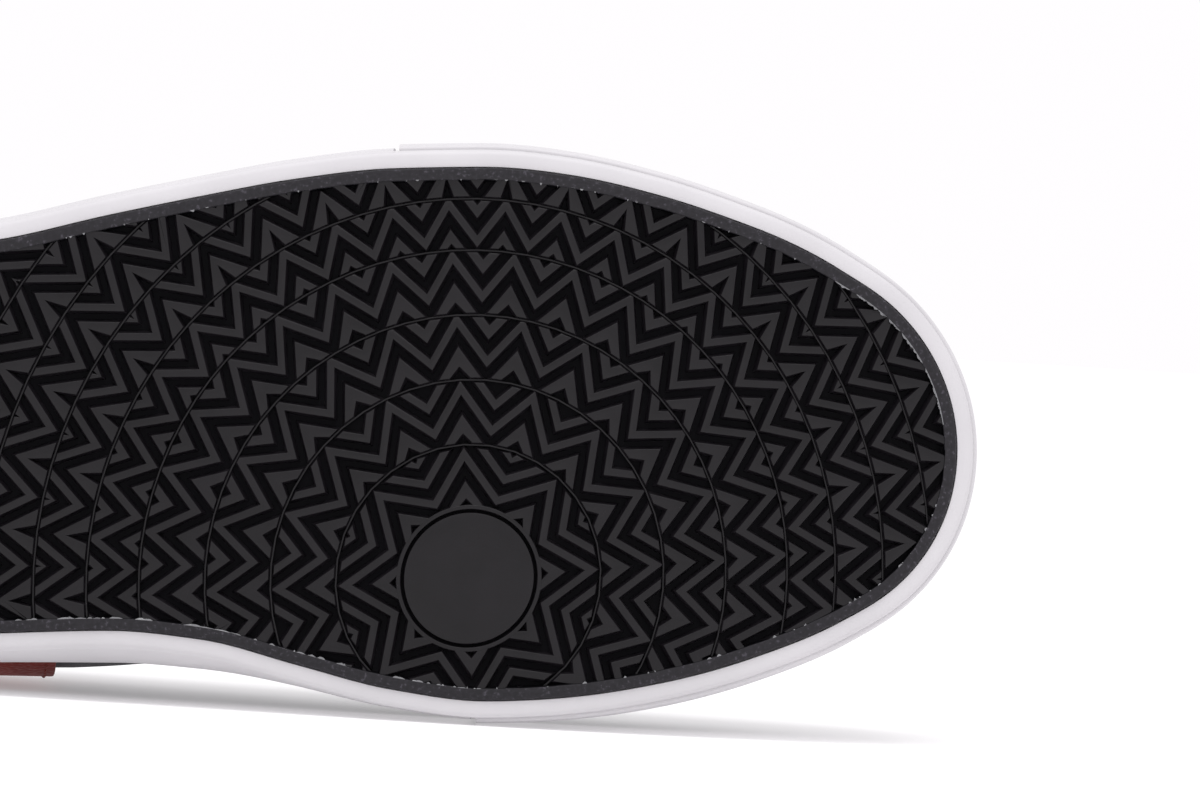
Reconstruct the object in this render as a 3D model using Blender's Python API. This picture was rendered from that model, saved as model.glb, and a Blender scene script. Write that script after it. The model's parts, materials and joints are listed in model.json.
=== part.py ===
"""A low skateboarding shoe for the right foot, lying on its inner side as on a floor.

The shoe is drawn standing, in its own frame: x runs from the heel to the toe, y to the inner (medial) side
and z up from the flat of the sole. The last function lays it down on its inner side, sole edge and upper
both on the floor, with the sole facing -Y, the toe towards +X and the outer side up.
"""

import math

import bmesh
import bpy
from mathutils import Matrix, Vector

# Driving sizes, in metres
SOLE_LENGTH = 0.2925  # black outsole, heel tip to toe tip
BALL_WIDTH = 0.0992  # black outsole across the ball
TOE_ROUND = 0.080  # length of the toe's half ellipse
HEEL_ROUND = 0.038  # length of the heel's half ellipse
TOE_SPRING = 0.0165  # lift of the outsole's tip
ROCKER_START = 0.186  # where the sole starts to lift, from the heel
HEEL_LIFT = 0.0025  # lift of the heel's back edge
HEEL_LIFT_LENGTH = 0.032
GAP = 0.0003  # between pieces that meet

# Outsole
OUTSOLE_THICK = 0.0120  # at the heel, from the ground to the footbed
RIM_WIDTH = 0.0034
RIM_BEVEL = 0.0006
TREAD_DEPTH = 0.0017
FIELD_DRAFT = 0.0004
LUG_SINK = 0.00015  # lug tops lie this far above the rim's plane
LUG_ROOT = 0.0008  # how far a lug is buried in the floor of the field

# Tread: zigzag rings round a pivot disc under the ball of the foot
PIVOT_FROM_HEEL = 0.2015
PIVOT_TO_MEDIAL = 0.0241
PIVOT_RADIUS = 0.01215
FIRST_RING = 0.01275
NEAR_PITCH = 0.0120
FAR_PITCH = 0.00955
NEAR_RINGS = 4
FULL_RING = 5  # from this ring on, each ring has as many periods as this one
LAST_RING = 22
STAR_POINTS = 8
STAR_TURN = 3.0  # degrees
LUG_WIDTH = 0.0030
RING_GROOVE = 0.0008

# Foxing and toe bumper
FOXING_BASE = 0.0028  # thickness at the ground
FOXING_TOP = 0.0022  # thickness at the top edge
FOXING_LIFT = 0.0007  # its lower edge stays off the ground by this
FOXING_HEIGHT = 0.0300  # at the heel
WALL_FLARE = 0.0031  # how far the wall leans out at the inner waist
WALL_BACK = 0.0009  # how far it comes back in at its top edge
FOXING_BEVEL = 0.0008
BUMPER_THICK = 0.0014
BUMPER_PROUD = 0.0007
BUMPER_FROM_LATERAL = 0.622  # share of the way from heel tip to toe tip round the edge
BUMPER_FROM_MEDIAL = 0.668
BUMPER_MARGIN = 0.0022  # below the top edge and above the lower edge of the foxing

# Upper
INSTEP_HEIGHT = 0.0880
COLLAR_WIDTH = 0.0720
WALL = 0.0022
COLLAR_PAD = 0.0068
BULGE = 0.0100
OVERLAY = 0.0011
INSOLE_THICK = 0.0075
TONGUE_THICK = 0.0048
TONGUE_RISE = 0.0240  # above the top of the throat
TONGUE_CROWN = 0.0042
TONGUE_NARROWS = 0.42  # share of its width that it loses above the throat, to clear the padded collar
TONGUE_DIPS = 0.0008  # how much further down its front end runs
THROAT_END = 0.645  # share of the way from heel to toe
THROAT_TOP = 0.385

# Fastening
EYELETS = 6
EYELET_RADIUS = 0.0034
EYELET_HOLE = 0.0019
EYELET_THICK = 0.0007
EYELET_BARREL = 0.0025
EYELET_LEVEL = 0.905
LACE_WIDTH = 0.0062
LACE_THICK = 0.0012
LACE_CLEAR = 0.0014  # over the eyelets, so that a slanting bar stays off their rims

# Mesh fineness
HALF_STATIONS = 26  # sections from heel tip to toe tip on each side
END_CROWDING = 0.45  # how much closer they stand at the heel and the toe
DENSE = 400

# A row for each cross section of the sole. Widths are shares of BALL_WIDTH before the ends are rounded,
# flares are shares of WALL_FLARE, base is a share of OUTSOLE_THICK and wall a share of FOXING_HEIGHT.
SOLE_COLUMNS = ("along", "lateral", "medial", "lateral_flare", "medial_flare", "base", "wall")
SOLE_SECTIONS = (
    (0.000, 0.368, 0.368, 0.50, 0.50, 1.00, 1.00),
    (0.120, 0.363, 0.363, 0.50, 0.50, 1.00, 0.99),
    (0.220, 0.359, 0.359, 0.50, 0.60, 1.00, 0.96),
    (0.320, 0.365, 0.350, 0.50, 0.72, 0.92, 0.90),
    (0.390, 0.390, 0.344, 0.50, 0.82, 0.84, 0.86),
    (0.460, 0.436, 0.339, 0.48, 1.00, 0.76, 0.83),
    (0.520, 0.472, 0.356, 0.45, 0.86, 0.69, 0.81),
    (0.580, 0.504, 0.403, 0.44, 0.36, 0.62, 0.80),
    (0.640, 0.523, 0.449, 0.43, 0.20, 0.58, 0.79),
    (0.700, 0.526, 0.471, 0.42, 0.18, 0.55, 0.79),
    (0.753, 0.514, 0.466, 0.38, 0.20, 0.53, 0.80),
    (0.810, 0.498, 0.460, 0.34, 0.26, 0.52, 0.82),
    (0.868, 0.488, 0.458, 0.30, 0.26, 0.52, 0.85),
    (0.925, 0.490, 0.470, 0.24, 0.22, 0.52, 0.88),
    (0.963, 0.512, 0.500, 0.16, 0.16, 0.52, 0.90),
    (1.000, 0.534, 0.534, 0.12, 0.12, 0.52, 0.91),
)

# A row for each section of the upper, from the heel to the toe. along is the share of the way round the
# edge. top is the section's upper end: its place along the sole as a share of SOLE_LENGTH, its half width as
# a share of COLLAR_WIDTH, its height as a share of INSTEP_HEIGHT and its shift to the medial side as a share
# of BALL_WIDTH. lateral and medial are how far the wall bulges, as shares of BULGE. rise, crown and drop
# shape the curve: how far the wall climbs before it turns, how flat it comes in and how steep it ends.
UPPER_COLUMNS = ("along", "top_x", "top_y", "top_z", "shift", "lateral", "medial", "rise", "crown", "drop")
UPPER_SECTIONS = (
    (0.000, 0.024, 0.000, 0.910, 0.004, 0.50, 0.50, 0.36, 0.10, 0.34),
    (0.050, 0.032, 0.195, 0.900, 0.008, 0.50, 0.52, 0.36, 0.10, 0.34),
    (0.095, 0.058, 0.345, 0.865, 0.010, 0.46, 0.38, 0.36, 0.10, 0.34),
    (0.145, 0.104, 0.435, 0.790, 0.018, 0.38, 0.28, 0.38, 0.08, 0.30),
    (0.210, 0.176, 0.490, 0.725, 0.032, 0.38, 0.60, 0.40, 0.10, 0.26),
    (0.280, 0.252, 0.480, 0.755, 0.040, 0.42, 1.04, 0.42, 0.16, 0.24),
    (0.335, 0.314, 0.380, 0.875, 0.034, 0.46, 1.16, 0.44, 0.30, 0.20),
    (0.385, 0.366, 0.262, 0.985, 0.024, 0.46, 1.00, 0.46, 0.42, 0.14),
    (0.430, 0.416, 0.220, 0.950, 0.022, 0.42, 0.80, 0.50, 0.48, 0.10),
    (0.500, 0.486, 0.195, 0.862, 0.022, 0.34, 0.46, 0.54, 0.54, 0.07),
    (0.570, 0.558, 0.170, 0.790, 0.024, 0.26, 0.22, 0.58, 0.56, 0.05),
    (0.620, 0.614, 0.118, 0.742, 0.026, 0.22, 0.14, 0.60, 0.56, 0.03),
    (0.645, 0.638, 0.000, 0.724, 0.028, 0.20, 0.12, 0.62, 0.56, 0.00),
    (0.720, 0.708, 0.000, 0.692, 0.034, 0.16, 0.10, 0.66, 0.56, 0.00),
    (0.800, 0.768, 0.000, 0.662, 0.038, 0.12, 0.08, 0.70, 0.58, 0.00),
    (0.880, 0.824, 0.000, 0.628, 0.038, 0.10, 0.08, 0.74, 0.62, 0.00),
    (0.950, 0.868, 0.000, 0.592, 0.030, 0.10, 0.08, 0.76, 0.66, 0.00),
    (1.000, 0.892, 0.000, 0.568, 0.022, 0.10, 0.10, 0.78, 0.68, 0.00),
)

# Levels of the upper's mesh: below 0 the wall stands behind the foxing, from 0 to 1 it shows.
UPPER_LEVELS = (-1.0, 0.0, 0.12, 0.27, 0.43, 0.60, 0.75, 0.88, 1.0)

COLOURS = {
    "black_rubber": ((0.030, 0.030, 0.032), 0.55, 0.0),
    "white_rubber": ((0.78, 0.78, 0.78), 0.50, 0.0),
    "suede": ((0.018, 0.017, 0.024), 0.92, 0.0),
    "red_leather": ((0.30, 0.035, 0.022), 0.55, 0.0),
    "lining": ((0.030, 0.029, 0.034), 0.90, 0.0),
    "insole_foam": ((0.045, 0.044, 0.050), 0.90, 0.0),
    "eyelet_metal": ((0.03, 0.03, 0.03), 0.35, 0.8),
    "lace_cord": ((0.022, 0.021, 0.028), 0.85, 0.0),
}


def read(rows, columns, name, at):
    """The value of one column at a share along the table, on a smooth curve through its rows."""
    k = columns.index(name)
    at = min(max(at, rows[0][0]), rows[-1][0])
    i = 0
    while i < len(rows) - 2 and rows[i + 1][0] < at:
        i += 1
    x0, x1 = rows[i][0], rows[i + 1][0]
    y0, y1 = rows[i][k], rows[i + 1][k]
    step = (y1 - y0) / (x1 - x0)
    before = (y0 - rows[i - 1][k]) / (x0 - rows[i - 1][0]) if i > 0 else step
    after = (rows[i + 2][k] - y1) / (rows[i + 2][0] - x1) if i + 2 < len(rows) else step
    m0 = 0.0 if before * step <= 0 else 2 * before * step / (before + step)
    m1 = 0.0 if after * step <= 0 else 2 * after * step / (after + step)
    if i == 0:
        m0 = step
    if i + 2 >= len(rows):
        m1 = step
    t = (at - x0) / (x1 - x0)
    h = x1 - x0
    a = (1 + 2 * t) * (1 - t) ** 2 * y0 + t * (1 - t) ** 2 * h * m0
    return a + t * t * (3 - 2 * t) * y1 + t * t * (t - 1) * h * m1


def sole(name, x):
    """A column of the sole's table at a distance from the heel."""
    return read(SOLE_SECTIONS, SOLE_COLUMNS, name, x / SOLE_LENGTH)


def upper(name, along):
    """A column of the upper's table at a share of the way from heel to toe."""
    return read(UPPER_SECTIONS, UPPER_COLUMNS, name, along)


def ground(x):
    """Height of the tread's plane: flat from heel to ball, lifting at the toe and the heel's back edge."""
    if x > ROCKER_START:
        return TOE_SPRING * ((x - ROCKER_START) / (SOLE_LENGTH - ROCKER_START)) ** 2
    if x < HEEL_LIFT_LENGTH:
        return HEEL_LIFT * ((HEEL_LIFT_LENGTH - x) / HEEL_LIFT_LENGTH) ** 2
    return 0.0


def rounding(x):
    """Share of the full width that is left near the rounded ends."""
    if x > SOLE_LENGTH - TOE_ROUND:
        u = (x - SOLE_LENGTH + TOE_ROUND) / TOE_ROUND
        return math.sqrt(max(0.0, 1 - u * u))
    if x < HEEL_ROUND:
        u = 1 - x / HEEL_ROUND
        return max(0.0, 1 - u ** 2.3) ** (1 / 2.3)
    return 1.0


def half_width(side, x):
    """Distance of the outsole's edge from the centre line, on the named side."""
    return BALL_WIDTH * sole(side, x) * rounding(x)


SIGN = {"lateral": -1, "medial": 1}


def walk_edge(side):
    """Dense points of the outsole's edge from heel tip to toe tip, with the length walked so far."""
    points = []
    walked = 0.0
    for i in range(DENSE + 1):
        x = SOLE_LENGTH * (1 - math.cos(math.pi * i / DENSE)) / 2
        p = Vector((x, SIGN[side] * half_width(side, x), 0))
        if points:
            walked += (p - points[-1][1]).length
        points.append((walked, p))
    return points


EDGES = {side: walk_edge(side) for side in SIGN}


def edge_at(side, along):
    """Point of the outsole's edge at a share of the way from heel to toe, and its outward direction."""
    points = EDGES[side]
    target = along * points[-1][0]
    low, high = 0, len(points) - 1
    while high - low > 1:
        middle = (low + high) // 2
        if points[middle][0] <= target:
            low = middle
        else:
            high = middle
    span = points[high][0] - points[low][0]
    t = (target - points[low][0]) / span
    p = points[low][1].lerp(points[high][1], t)
    if along <= 0:
        return points[0][1].copy(), Vector((-1, 0, 0))
    if along >= 1:
        return points[-1][1].copy(), Vector((1, 0, 0))
    a = points[max(low - 3, 0)][1]
    b = points[min(high + 3, len(points) - 1)][1]
    run = (b - a).normalized()
    out = Vector((run.y, -run.x, 0)) if side == "lateral" else Vector((-run.y, run.x, 0))
    return p, out


def flare_at(side, along):
    """How far the foxing's wall leans out of its foot, in metres."""
    p, _ = edge_at(side, along)
    return WALL_FLARE * sole(side + "_flare", p.x)


def edge_point(side, along, outward, height):
    """A point set out from the outsole's edge, at a height above the tread's plane."""
    p, out = edge_at(side, along)
    q = p + out * outward
    return Vector((q.x, q.y, ground(q.x) + height))


def stations(count=HALF_STATIONS):
    """Shares of the way from heel to toe for the sections of one side."""
    shares = [i / count for i in range(count + 1)]
    return [t - END_CROWDING * math.sin(2 * math.pi * t) / (2 * math.pi) for t in shares]


def loop_of(shares_lateral, shares_medial):
    """The way round the shoe: the lateral side from heel to toe, then the medial side back."""
    there = [("lateral", s) for s in shares_lateral]
    back = [("medial", s) for s in reversed(shares_medial) if 0 < s < 1]
    return there + back


# Meshes


def material(name):
    found = bpy.data.materials.get(name)
    if found:
        return found
    colour, roughness, metallic = COLOURS[name]
    made = bpy.data.materials.new(name)
    made.use_nodes = True
    shader = made.node_tree.nodes["Principled BSDF"]
    shader.inputs["Base Color"].default_value = (*colour, 1)
    shader.inputs["Roughness"].default_value = roughness
    shader.inputs["Metallic"].default_value = metallic
    made.diffuse_color = (*colour, 1)
    return made


def add_object(name, bm, material_name):
    """Closes, orients and stores a mesh as one named object."""
    bmesh.ops.remove_doubles(bm, verts=bm.verts, dist=1e-6)
    bmesh.ops.dissolve_degenerate(bm, edges=bm.edges, dist=1e-7)
    bmesh.ops.recalc_face_normals(bm, faces=bm.faces)
    if bm.calc_volume(signed=True) < 0:
        bmesh.ops.reverse_faces(bm, faces=bm.faces)
    mesh = bpy.data.meshes.new(name)
    bm.to_mesh(mesh)
    bm.free()
    mesh.materials.append(material(material_name))
    mesh.shade_smooth()
    mesh.set_sharp_from_angle(angle=math.radians(38))
    made = bpy.data.objects.new(name, mesh)
    bpy.context.scene.collection.objects.link(made)
    return made


def bridge(bm, first, second, closed=True):
    """Quads between two rows of vertices of the same length."""
    n = len(first)
    for i in range(n if closed else n - 1):
        j = (i + 1) % n
        bm.faces.new((first[i], first[j], second[j], second[i]))


def ladder(bm, ring, half):
    """Closes a ring round the shoe with quads from its lateral to its medial side."""
    n = len(ring)
    for i in range(half):
        a, b = ring[i], ring[i + 1]
        c, d = ring[(n - i - 1) % n], ring[(n - i) % n]
        corners = [v for k, v in enumerate((a, b, c, d)) if v not in (a, b, c, d)[:k]]
        if len(corners) > 2:
            bm.faces.new(corners)


def ring_stack(name, rows, material_name, capped):
    """A solid made of rings round the shoe. A capped one is closed across, another one is a hoop."""
    bm = bmesh.new()
    rings = [[bm.verts.new(p) for p in row] for row in rows]
    for lower, higher in zip(rings, rings[1:]):
        bridge(bm, lower, higher)
    if capped:
        half = len(rings[0]) // 2
        ladder(bm, rings[0], half)
        ladder(bm, rings[-1], half)
    else:
        bridge(bm, rings[-1], rings[0])
    return add_object(name, bm, material_name)


# Outsole and tread


def base_height(x):
    """Thickness of the outsole, from the tread's plane to the footbed."""
    return OUTSOLE_THICK * sole("base", x)


def outsole_ring(outward, height):
    shares = stations()
    return [edge_point(side, s, outward, height) for side, s in loop_of(shares, shares)]


def outsole_top_ring():
    shares = stations()
    ring = []
    for side, s in loop_of(shares, shares):
        x = edge_at(side, s)[0].x
        ring.append(edge_point(side, s, 0, base_height(x)))
    return ring


def ring_radius(ring):
    """Outer radius of a ring of the tread."""
    near = min(ring, NEAR_RINGS)
    return FIRST_RING + NEAR_PITCH * near + FAR_PITCH * (ring - near)


def periods(ring):
    return STAR_POINTS * min(ring, FULL_RING)


def unroll(x):
    """Length along the sole from the pivot disc, measured on the lifted toe."""
    rate = 2 * TOE_SPRING / (SOLE_LENGTH - ROCKER_START) ** 2

    def walked(d):
        if d <= 0:
            return d
        slope = rate * d
        return d / 2 * math.sqrt(1 + slope**2) + math.asinh(slope) / (2 * rate)

    return walked(x - ROCKER_START) - walked(PIVOT_FROM_HEEL - ROCKER_START)


def roll_up(u):
    """The place along the shoe of a point that lies u along the sole from the pivot disc."""
    x = PIVOT_FROM_HEEL + u
    for _ in range(6):
        x += u - unroll(x)
    return x


def tread_point(radius, angle):
    """A point of the flat tread pattern in the shoe's plan. The angle opens from the toe to the lateral side."""
    u = radius * math.cos(angle)
    x = roll_up(u)
    return Vector((x, PIVOT_TO_MEDIAL - radius * math.sin(angle), 0))


def inside_field(p, margin):
    """Whether a point in the plan lies in the tread's field, grown by a margin."""
    side = "lateral" if p.y < 0 else "medial"
    inset = RIM_WIDTH - margin
    x = p.x
    if not inset < x < SOLE_LENGTH - inset:
        return False
    # Near the round ends the inset is measured along the outline's normal.
    w = half_width(side, x)
    ahead, behind = half_width(side, x + 1e-4), half_width(side, x - 1e-4)
    slope = (ahead - behind) / 2e-4
    return abs(p.y) < w - inset * math.sqrt(1 + slope * slope)


def clip_leg(start, end, margin):
    """The stretch of a leg that lies in the field, or None."""
    steps = 24
    spots = [start.lerp(end, i / steps) for i in range(steps + 1)]
    good = [inside_field(p, margin) for p in spots]
    if not any(good):
        return None
    first = good.index(True)
    last = steps - good[::-1].index(True)
    if last - first < 3:
        return None
    return spots[first], spots[last]


def mitre(previous, here, following):
    """Sideways direction of a band at a bend, long enough to keep the band's width."""
    into = (here - previous).normalized() if previous else (following - here).normalized()
    out = (following - here).normalized() if following else into
    side = Vector((-into.y - out.y, into.x + out.x, 0))
    side.normalize()
    straight = Vector((-into.y, into.x, 0))
    return side / max(side.dot(straight), 0.35)


def add_lug(bm, path, width):
    """A raised band along a path in the plan, from just under the rim's plane down into the floor."""
    rows = []
    for i, p in enumerate(path):
        previous = path[i - 1] if i > 0 else None
        following = path[i + 1] if i + 1 < len(path) else None
        across = mitre(previous, p, following) * (width / 2)
        left, right = p + across, p - across
        top_left = Vector((left.x, left.y, ground(left.x) + LUG_SINK))
        top_right = Vector((right.x, right.y, ground(right.x) + LUG_SINK))
        root = Vector((0, 0, TREAD_DEPTH + LUG_ROOT - LUG_SINK))
        rows.append([bm.verts.new(q) for q in (top_left, top_right, top_right + root, top_left + root)])
    for a, b in zip(rows, rows[1:]):
        bridge(bm, a, b)
    bm.faces.new(rows[0])
    bm.faces.new(reversed(rows[-1]))


def runs_of(path, margin):
    """The stretches of a path that lie in the field, cut off at its rim."""
    found, run = [], []
    for start, end in zip(path, path[1:]):
        kept = clip_leg(start, end, margin)
        if kept is None:
            if len(run) > 1:
                found.append(run)
            run = []
            continue
        a, b = kept
        if not run or (run[-1] - a).length > 1e-6:
            if len(run) > 1:
                found.append(run)
            run = [a]
        run.append(b)
        if (b - end).length > 1e-6:
            found.append(run)
            run = []
    if len(run) > 1:
        found.append(run)
    return [r for r in found if sum((b - a).length for a, b in zip(r, r[1:])) > 2 * LUG_WIDTH]


def ring_path(ring):
    """The zigzag of one ring: it bends at the ring's outer and inner edge in turn."""
    count = periods(ring)
    step = math.pi / count
    near, far = ring_radius(ring - 1), ring_radius(ring)
    leg = complex(far, 0) - near * complex(math.cos(step), math.sin(step))
    lean = abs(math.atan2(leg.imag, leg.real))
    room = LUG_WIDTH / 2 / max(math.sin(lean), 0.35) + RING_GROOVE / 2
    path = []
    for i in range(2 * count + 1):
        angle = math.radians(STAR_TURN) + i * step
        path.append(tread_point(far - room if i % 2 == 0 else near + room, angle))
    return path


def make_tread_lugs():
    """All the lugs of the tread and the pivot disc, as one helper that is joined to the outsole."""
    bm = bmesh.new()
    margin = RIM_WIDTH * 0.45
    for ring in range(1, LAST_RING + 1):
        for run in runs_of(ring_path(ring), margin):
            add_lug(bm, run, LUG_WIDTH)
    add_pivot_disc(bm)
    return add_object("tread_lugs", bm, "black_rubber")


def add_pivot_disc(bm):
    """The flat disc under the ball of the foot."""
    centre = Vector((PIVOT_FROM_HEEL, PIVOT_TO_MEDIAL, 0))
    rate = ground(centre.x + 1e-4) - ground(centre.x - 1e-4)
    slope = rate / 2e-4
    count = 40
    rows = []
    for lift in (0.0, TREAD_DEPTH + LUG_ROOT):
        row = []
        for i in range(count):
            a = 2 * math.pi * i / count
            x = centre.x + PIVOT_RADIUS * math.cos(a)
            y = centre.y + PIVOT_RADIUS * math.sin(a)
            z = ground(centre.x) + slope * (x - centre.x) + LUG_SINK + lift
            row.append(bm.verts.new((x, y, z)))
        rows.append(row)
    bridge(bm, rows[0], rows[1])
    bm.faces.new(rows[0])
    bm.faces.new(reversed(rows[1]))


def make_outsole():
    rows = [
        outsole_ring(-RIM_WIDTH - FIELD_DRAFT, TREAD_DEPTH),
        outsole_ring(-RIM_WIDTH, 0),
        outsole_ring(-RIM_BEVEL, 0),
        outsole_ring(0, RIM_BEVEL),
        outsole_top_ring(),
    ]
    outsole = ring_stack("outsole", rows, "black_rubber", capped=True)
    lugs = make_tread_lugs()
    lugs.hide_render = True
    lugs.display_type = "WIRE"
    join = outsole.modifiers.new("tread", "BOOLEAN")
    join.operation = "UNION"
    join.solver = "EXACT"
    join.use_self = True
    join.object = lugs
    return outsole


# Foxing and toe bumper


def wall_top(x):
    """Height of the foxing's top edge above the tread's plane."""
    return FOXING_HEIGHT * sole("wall", x)


BUMPER_RECESS = BUMPER_THICK + GAP - BUMPER_PROUD
BUMPER_FROM = {"lateral": BUMPER_FROM_LATERAL, "medial": BUMPER_FROM_MEDIAL}
STEP_SHARE = 0.0012


def foxing_stations(side):
    """Shares along a side, with a close pair where the wall steps in for the bumper."""
    start = BUMPER_FROM[side]
    kept = [s for s in stations() if abs(s - start) > 4 * STEP_SHARE]
    return sorted(kept + [start - STEP_SHARE, start + STEP_SHARE])


def outer_wall(side, along, rise):
    """Set-out of the foxing's outer wall from the outsole's edge, at a share of its height."""
    lean = flare_at(side, along) * math.sin(min(rise / 0.5, 1.0) * math.pi / 2)
    back = WALL_BACK * max(0.0, rise / 0.5 - 1) ** 2
    return GAP + FOXING_BASE + lean - back


def upper_foot(side, along, rise):
    """Set-out of the upper's outer face behind the foxing, from its lower edge (0) to the foxing's top (1)."""
    top = outer_wall(side, along, 1) - FOXING_TOP - GAP
    return top * (0.35 + 0.65 * rise)


def foxing_profile(side, along):
    """The foxing's cross section at a station, as set-outs and heights."""
    x = edge_at(side, along)[0].x
    low, high = FOXING_LIFT, wall_top(x)
    base = base_height(x)
    inset = BUMPER_RECESS if along > BUMPER_FROM[side] else 0.0
    bottom, top = low + BUMPER_MARGIN, high - BUMPER_MARGIN

    def rise(z):
        return (z - low) / (high - low)

    middle = (bottom + top) / 2
    return [
        (GAP, low),
        (GAP + FOXING_BASE - FOXING_BEVEL, low),
        (outer_wall(side, along, 0) + FOXING_BEVEL * 0.1, low + FOXING_BEVEL),
        (outer_wall(side, along, rise(bottom)), bottom),
        (outer_wall(side, along, rise(bottom)) - inset, bottom + GAP / 3),
        (outer_wall(side, along, rise(middle)) - inset, middle),
        (outer_wall(side, along, rise(top)) - inset, top - GAP / 3),
        (outer_wall(side, along, rise(top)), top),
        (outer_wall(side, along, 1), high - FOXING_BEVEL),
        (outer_wall(side, along, 1) - FOXING_BEVEL, high),
        (upper_foot(side, along, 1) + GAP, high),
        (upper_foot(side, along, 0) + GAP, base + GAP),
        (GAP, base - GAP),
    ]


def make_foxing():
    way = loop_of(foxing_stations("lateral"), foxing_stations("medial"))
    sections = [(side, s, foxing_profile(side, s)) for side, s in way]
    rows = []
    for k in range(len(sections[0][2])):
        rows.append([edge_point(side, s, *profile[k]) for side, s, profile in sections])
    return ring_stack("foxing", rows, "white_rubber", capped=False)


def bumper_profile(side, along):
    x = edge_at(side, along)[0].x
    low, high = FOXING_LIFT, wall_top(x)
    bottom, top = low + BUMPER_MARGIN, high - BUMPER_MARGIN

    def at(z, extra):
        return outer_wall(side, along, (z - low) / (high - low)) + extra

    inner, outer = GAP - BUMPER_RECESS, BUMPER_PROUD
    middle = (bottom + top) / 2
    soft = BUMPER_PROUD * 0.6
    return [
        (at(bottom, inner), bottom + 2 * GAP),
        (at(bottom, outer - soft), bottom + 2 * GAP),
        (at(bottom, outer), bottom + 2 * GAP + soft),
        (at(middle, outer), middle),
        (at(top, outer), top - 2 * GAP - soft),
        (at(top, outer - soft), top - 2 * GAP),
        (at(top, inner), top - 2 * GAP),
        (at(middle, inner), middle),
    ]


def make_toe_bumper():
    """A strip let into the foxing round the toe."""
    start = STEP_SHARE * 2.2
    lateral = [BUMPER_FROM_LATERAL + start] + [s for s in stations() if s > BUMPER_FROM_LATERAL + 0.01]
    medial = [BUMPER_FROM_MEDIAL + start] + [s for s in stations() if s > BUMPER_FROM_MEDIAL + 0.01]
    bm = bmesh.new()
    rows = []
    for side, s in loop_of(lateral, medial):
        rows.append([bm.verts.new(edge_point(side, s, *spot)) for spot in bumper_profile(side, s)])
    for a, b in zip(rows, rows[1:]):
        bridge(bm, a, b)
    bm.faces.new(rows[0])
    bm.faces.new(reversed(rows[-1]))
    return add_object("toe_bumper", bm, "white_rubber")


# Upper


def upper_surface(side, along, level):
    """A point of the upper's outer face. Below level 0 it stands behind the foxing."""
    along = min(max(along, 0.0), 1.0)
    p, out = edge_at(side, along)
    base = base_height(p.x) + GAP
    high = wall_top(p.x)
    if level <= 0:
        rise = 1 + level
        outward = upper_foot(side, along, rise)
        return edge_point(side, along, outward, base + (high - base) * rise)
    foot = edge_point(side, along, upper_foot(side, along, 1), high)
    top_x = SOLE_LENGTH * upper("top_x", along)
    shift = BALL_WIDTH * upper("shift", along)
    top_y = shift + SIGN[side] * COLLAR_WIDTH * upper("top_y", along)
    top = Vector((top_x, top_y, ground(top_x) + INSTEP_HEIGHT * upper("top_z", along)))
    height = top.z - foot.z
    away = Vector((foot.x - top.x, foot.y - top.y, 0))
    first = foot + out * (BULGE * upper(side, along)) + Vector((0, 0, height * upper("rise", along)))
    last = top + away * upper("crown", along) - Vector((0, 0, height * upper("drop", along)))
    t = level
    return foot * (1 - t) ** 3 + first * 3 * t * (1 - t) ** 2 + last * 3 * t * t * (1 - t) + top * t**3


def one_side_normal(side, along, level):
    step = 0.004
    a0, a1 = max(along - step, 0.0), min(along + step, 1.0)
    low, high = level - 0.02, level + 0.02
    if level >= 1:
        low, high = 0.97, 1.0
    if level <= -1:
        low, high = -1.0, -0.96
    if -0.02 < level < 0.02:
        low, high = level - 0.05, level + 0.02
    run = upper_surface(side, a1, level) - upper_surface(side, a0, level)
    climb = upper_surface(side, along, high) - upper_surface(side, along, low)
    normal = run.cross(climb) if side == "lateral" else climb.cross(run)
    return normal.normalized()


def upper_normal(side, along, level):
    """Outward direction of the upper's face. On a line that both sides share it is their average."""
    normal = one_side_normal(side, along, level)
    shared = along <= 0 or along >= 1 or (level >= 1 and along >= THROAT_END)
    if not shared:
        return normal
    other = one_side_normal("medial" if side == "lateral" else "lateral", along, level)
    return (normal + other).normalized()


def upper_point(side, along, level, outward):
    return upper_surface(side, along, level) + upper_normal(side, along, level) * outward


def pad_share(along, level):
    """How much of the collar's padding there is: full at the collar, none at the throat and below."""
    if level <= 0 or along >= THROAT_TOP:
        return 0.0
    fade = min((THROAT_TOP - along) / 0.07, 1.0)
    climb = max(0.0, (level - 0.45) / 0.55)
    return fade * math.sin(min(climb * 1.4, 1.0) * math.pi / 2)


def wall_offsets(along, level):
    """Set-outs of the upper's outer and inner faces. The collar's edge is rounded."""
    pad = pad_share(along, level)
    thick = WALL + (COLLAR_PAD - WALL) * pad
    outer, inner = 0.0, -thick
    if level >= 1:
        outer -= 0.24 * thick
        inner += 0.24 * thick
    return outer, inner


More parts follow.
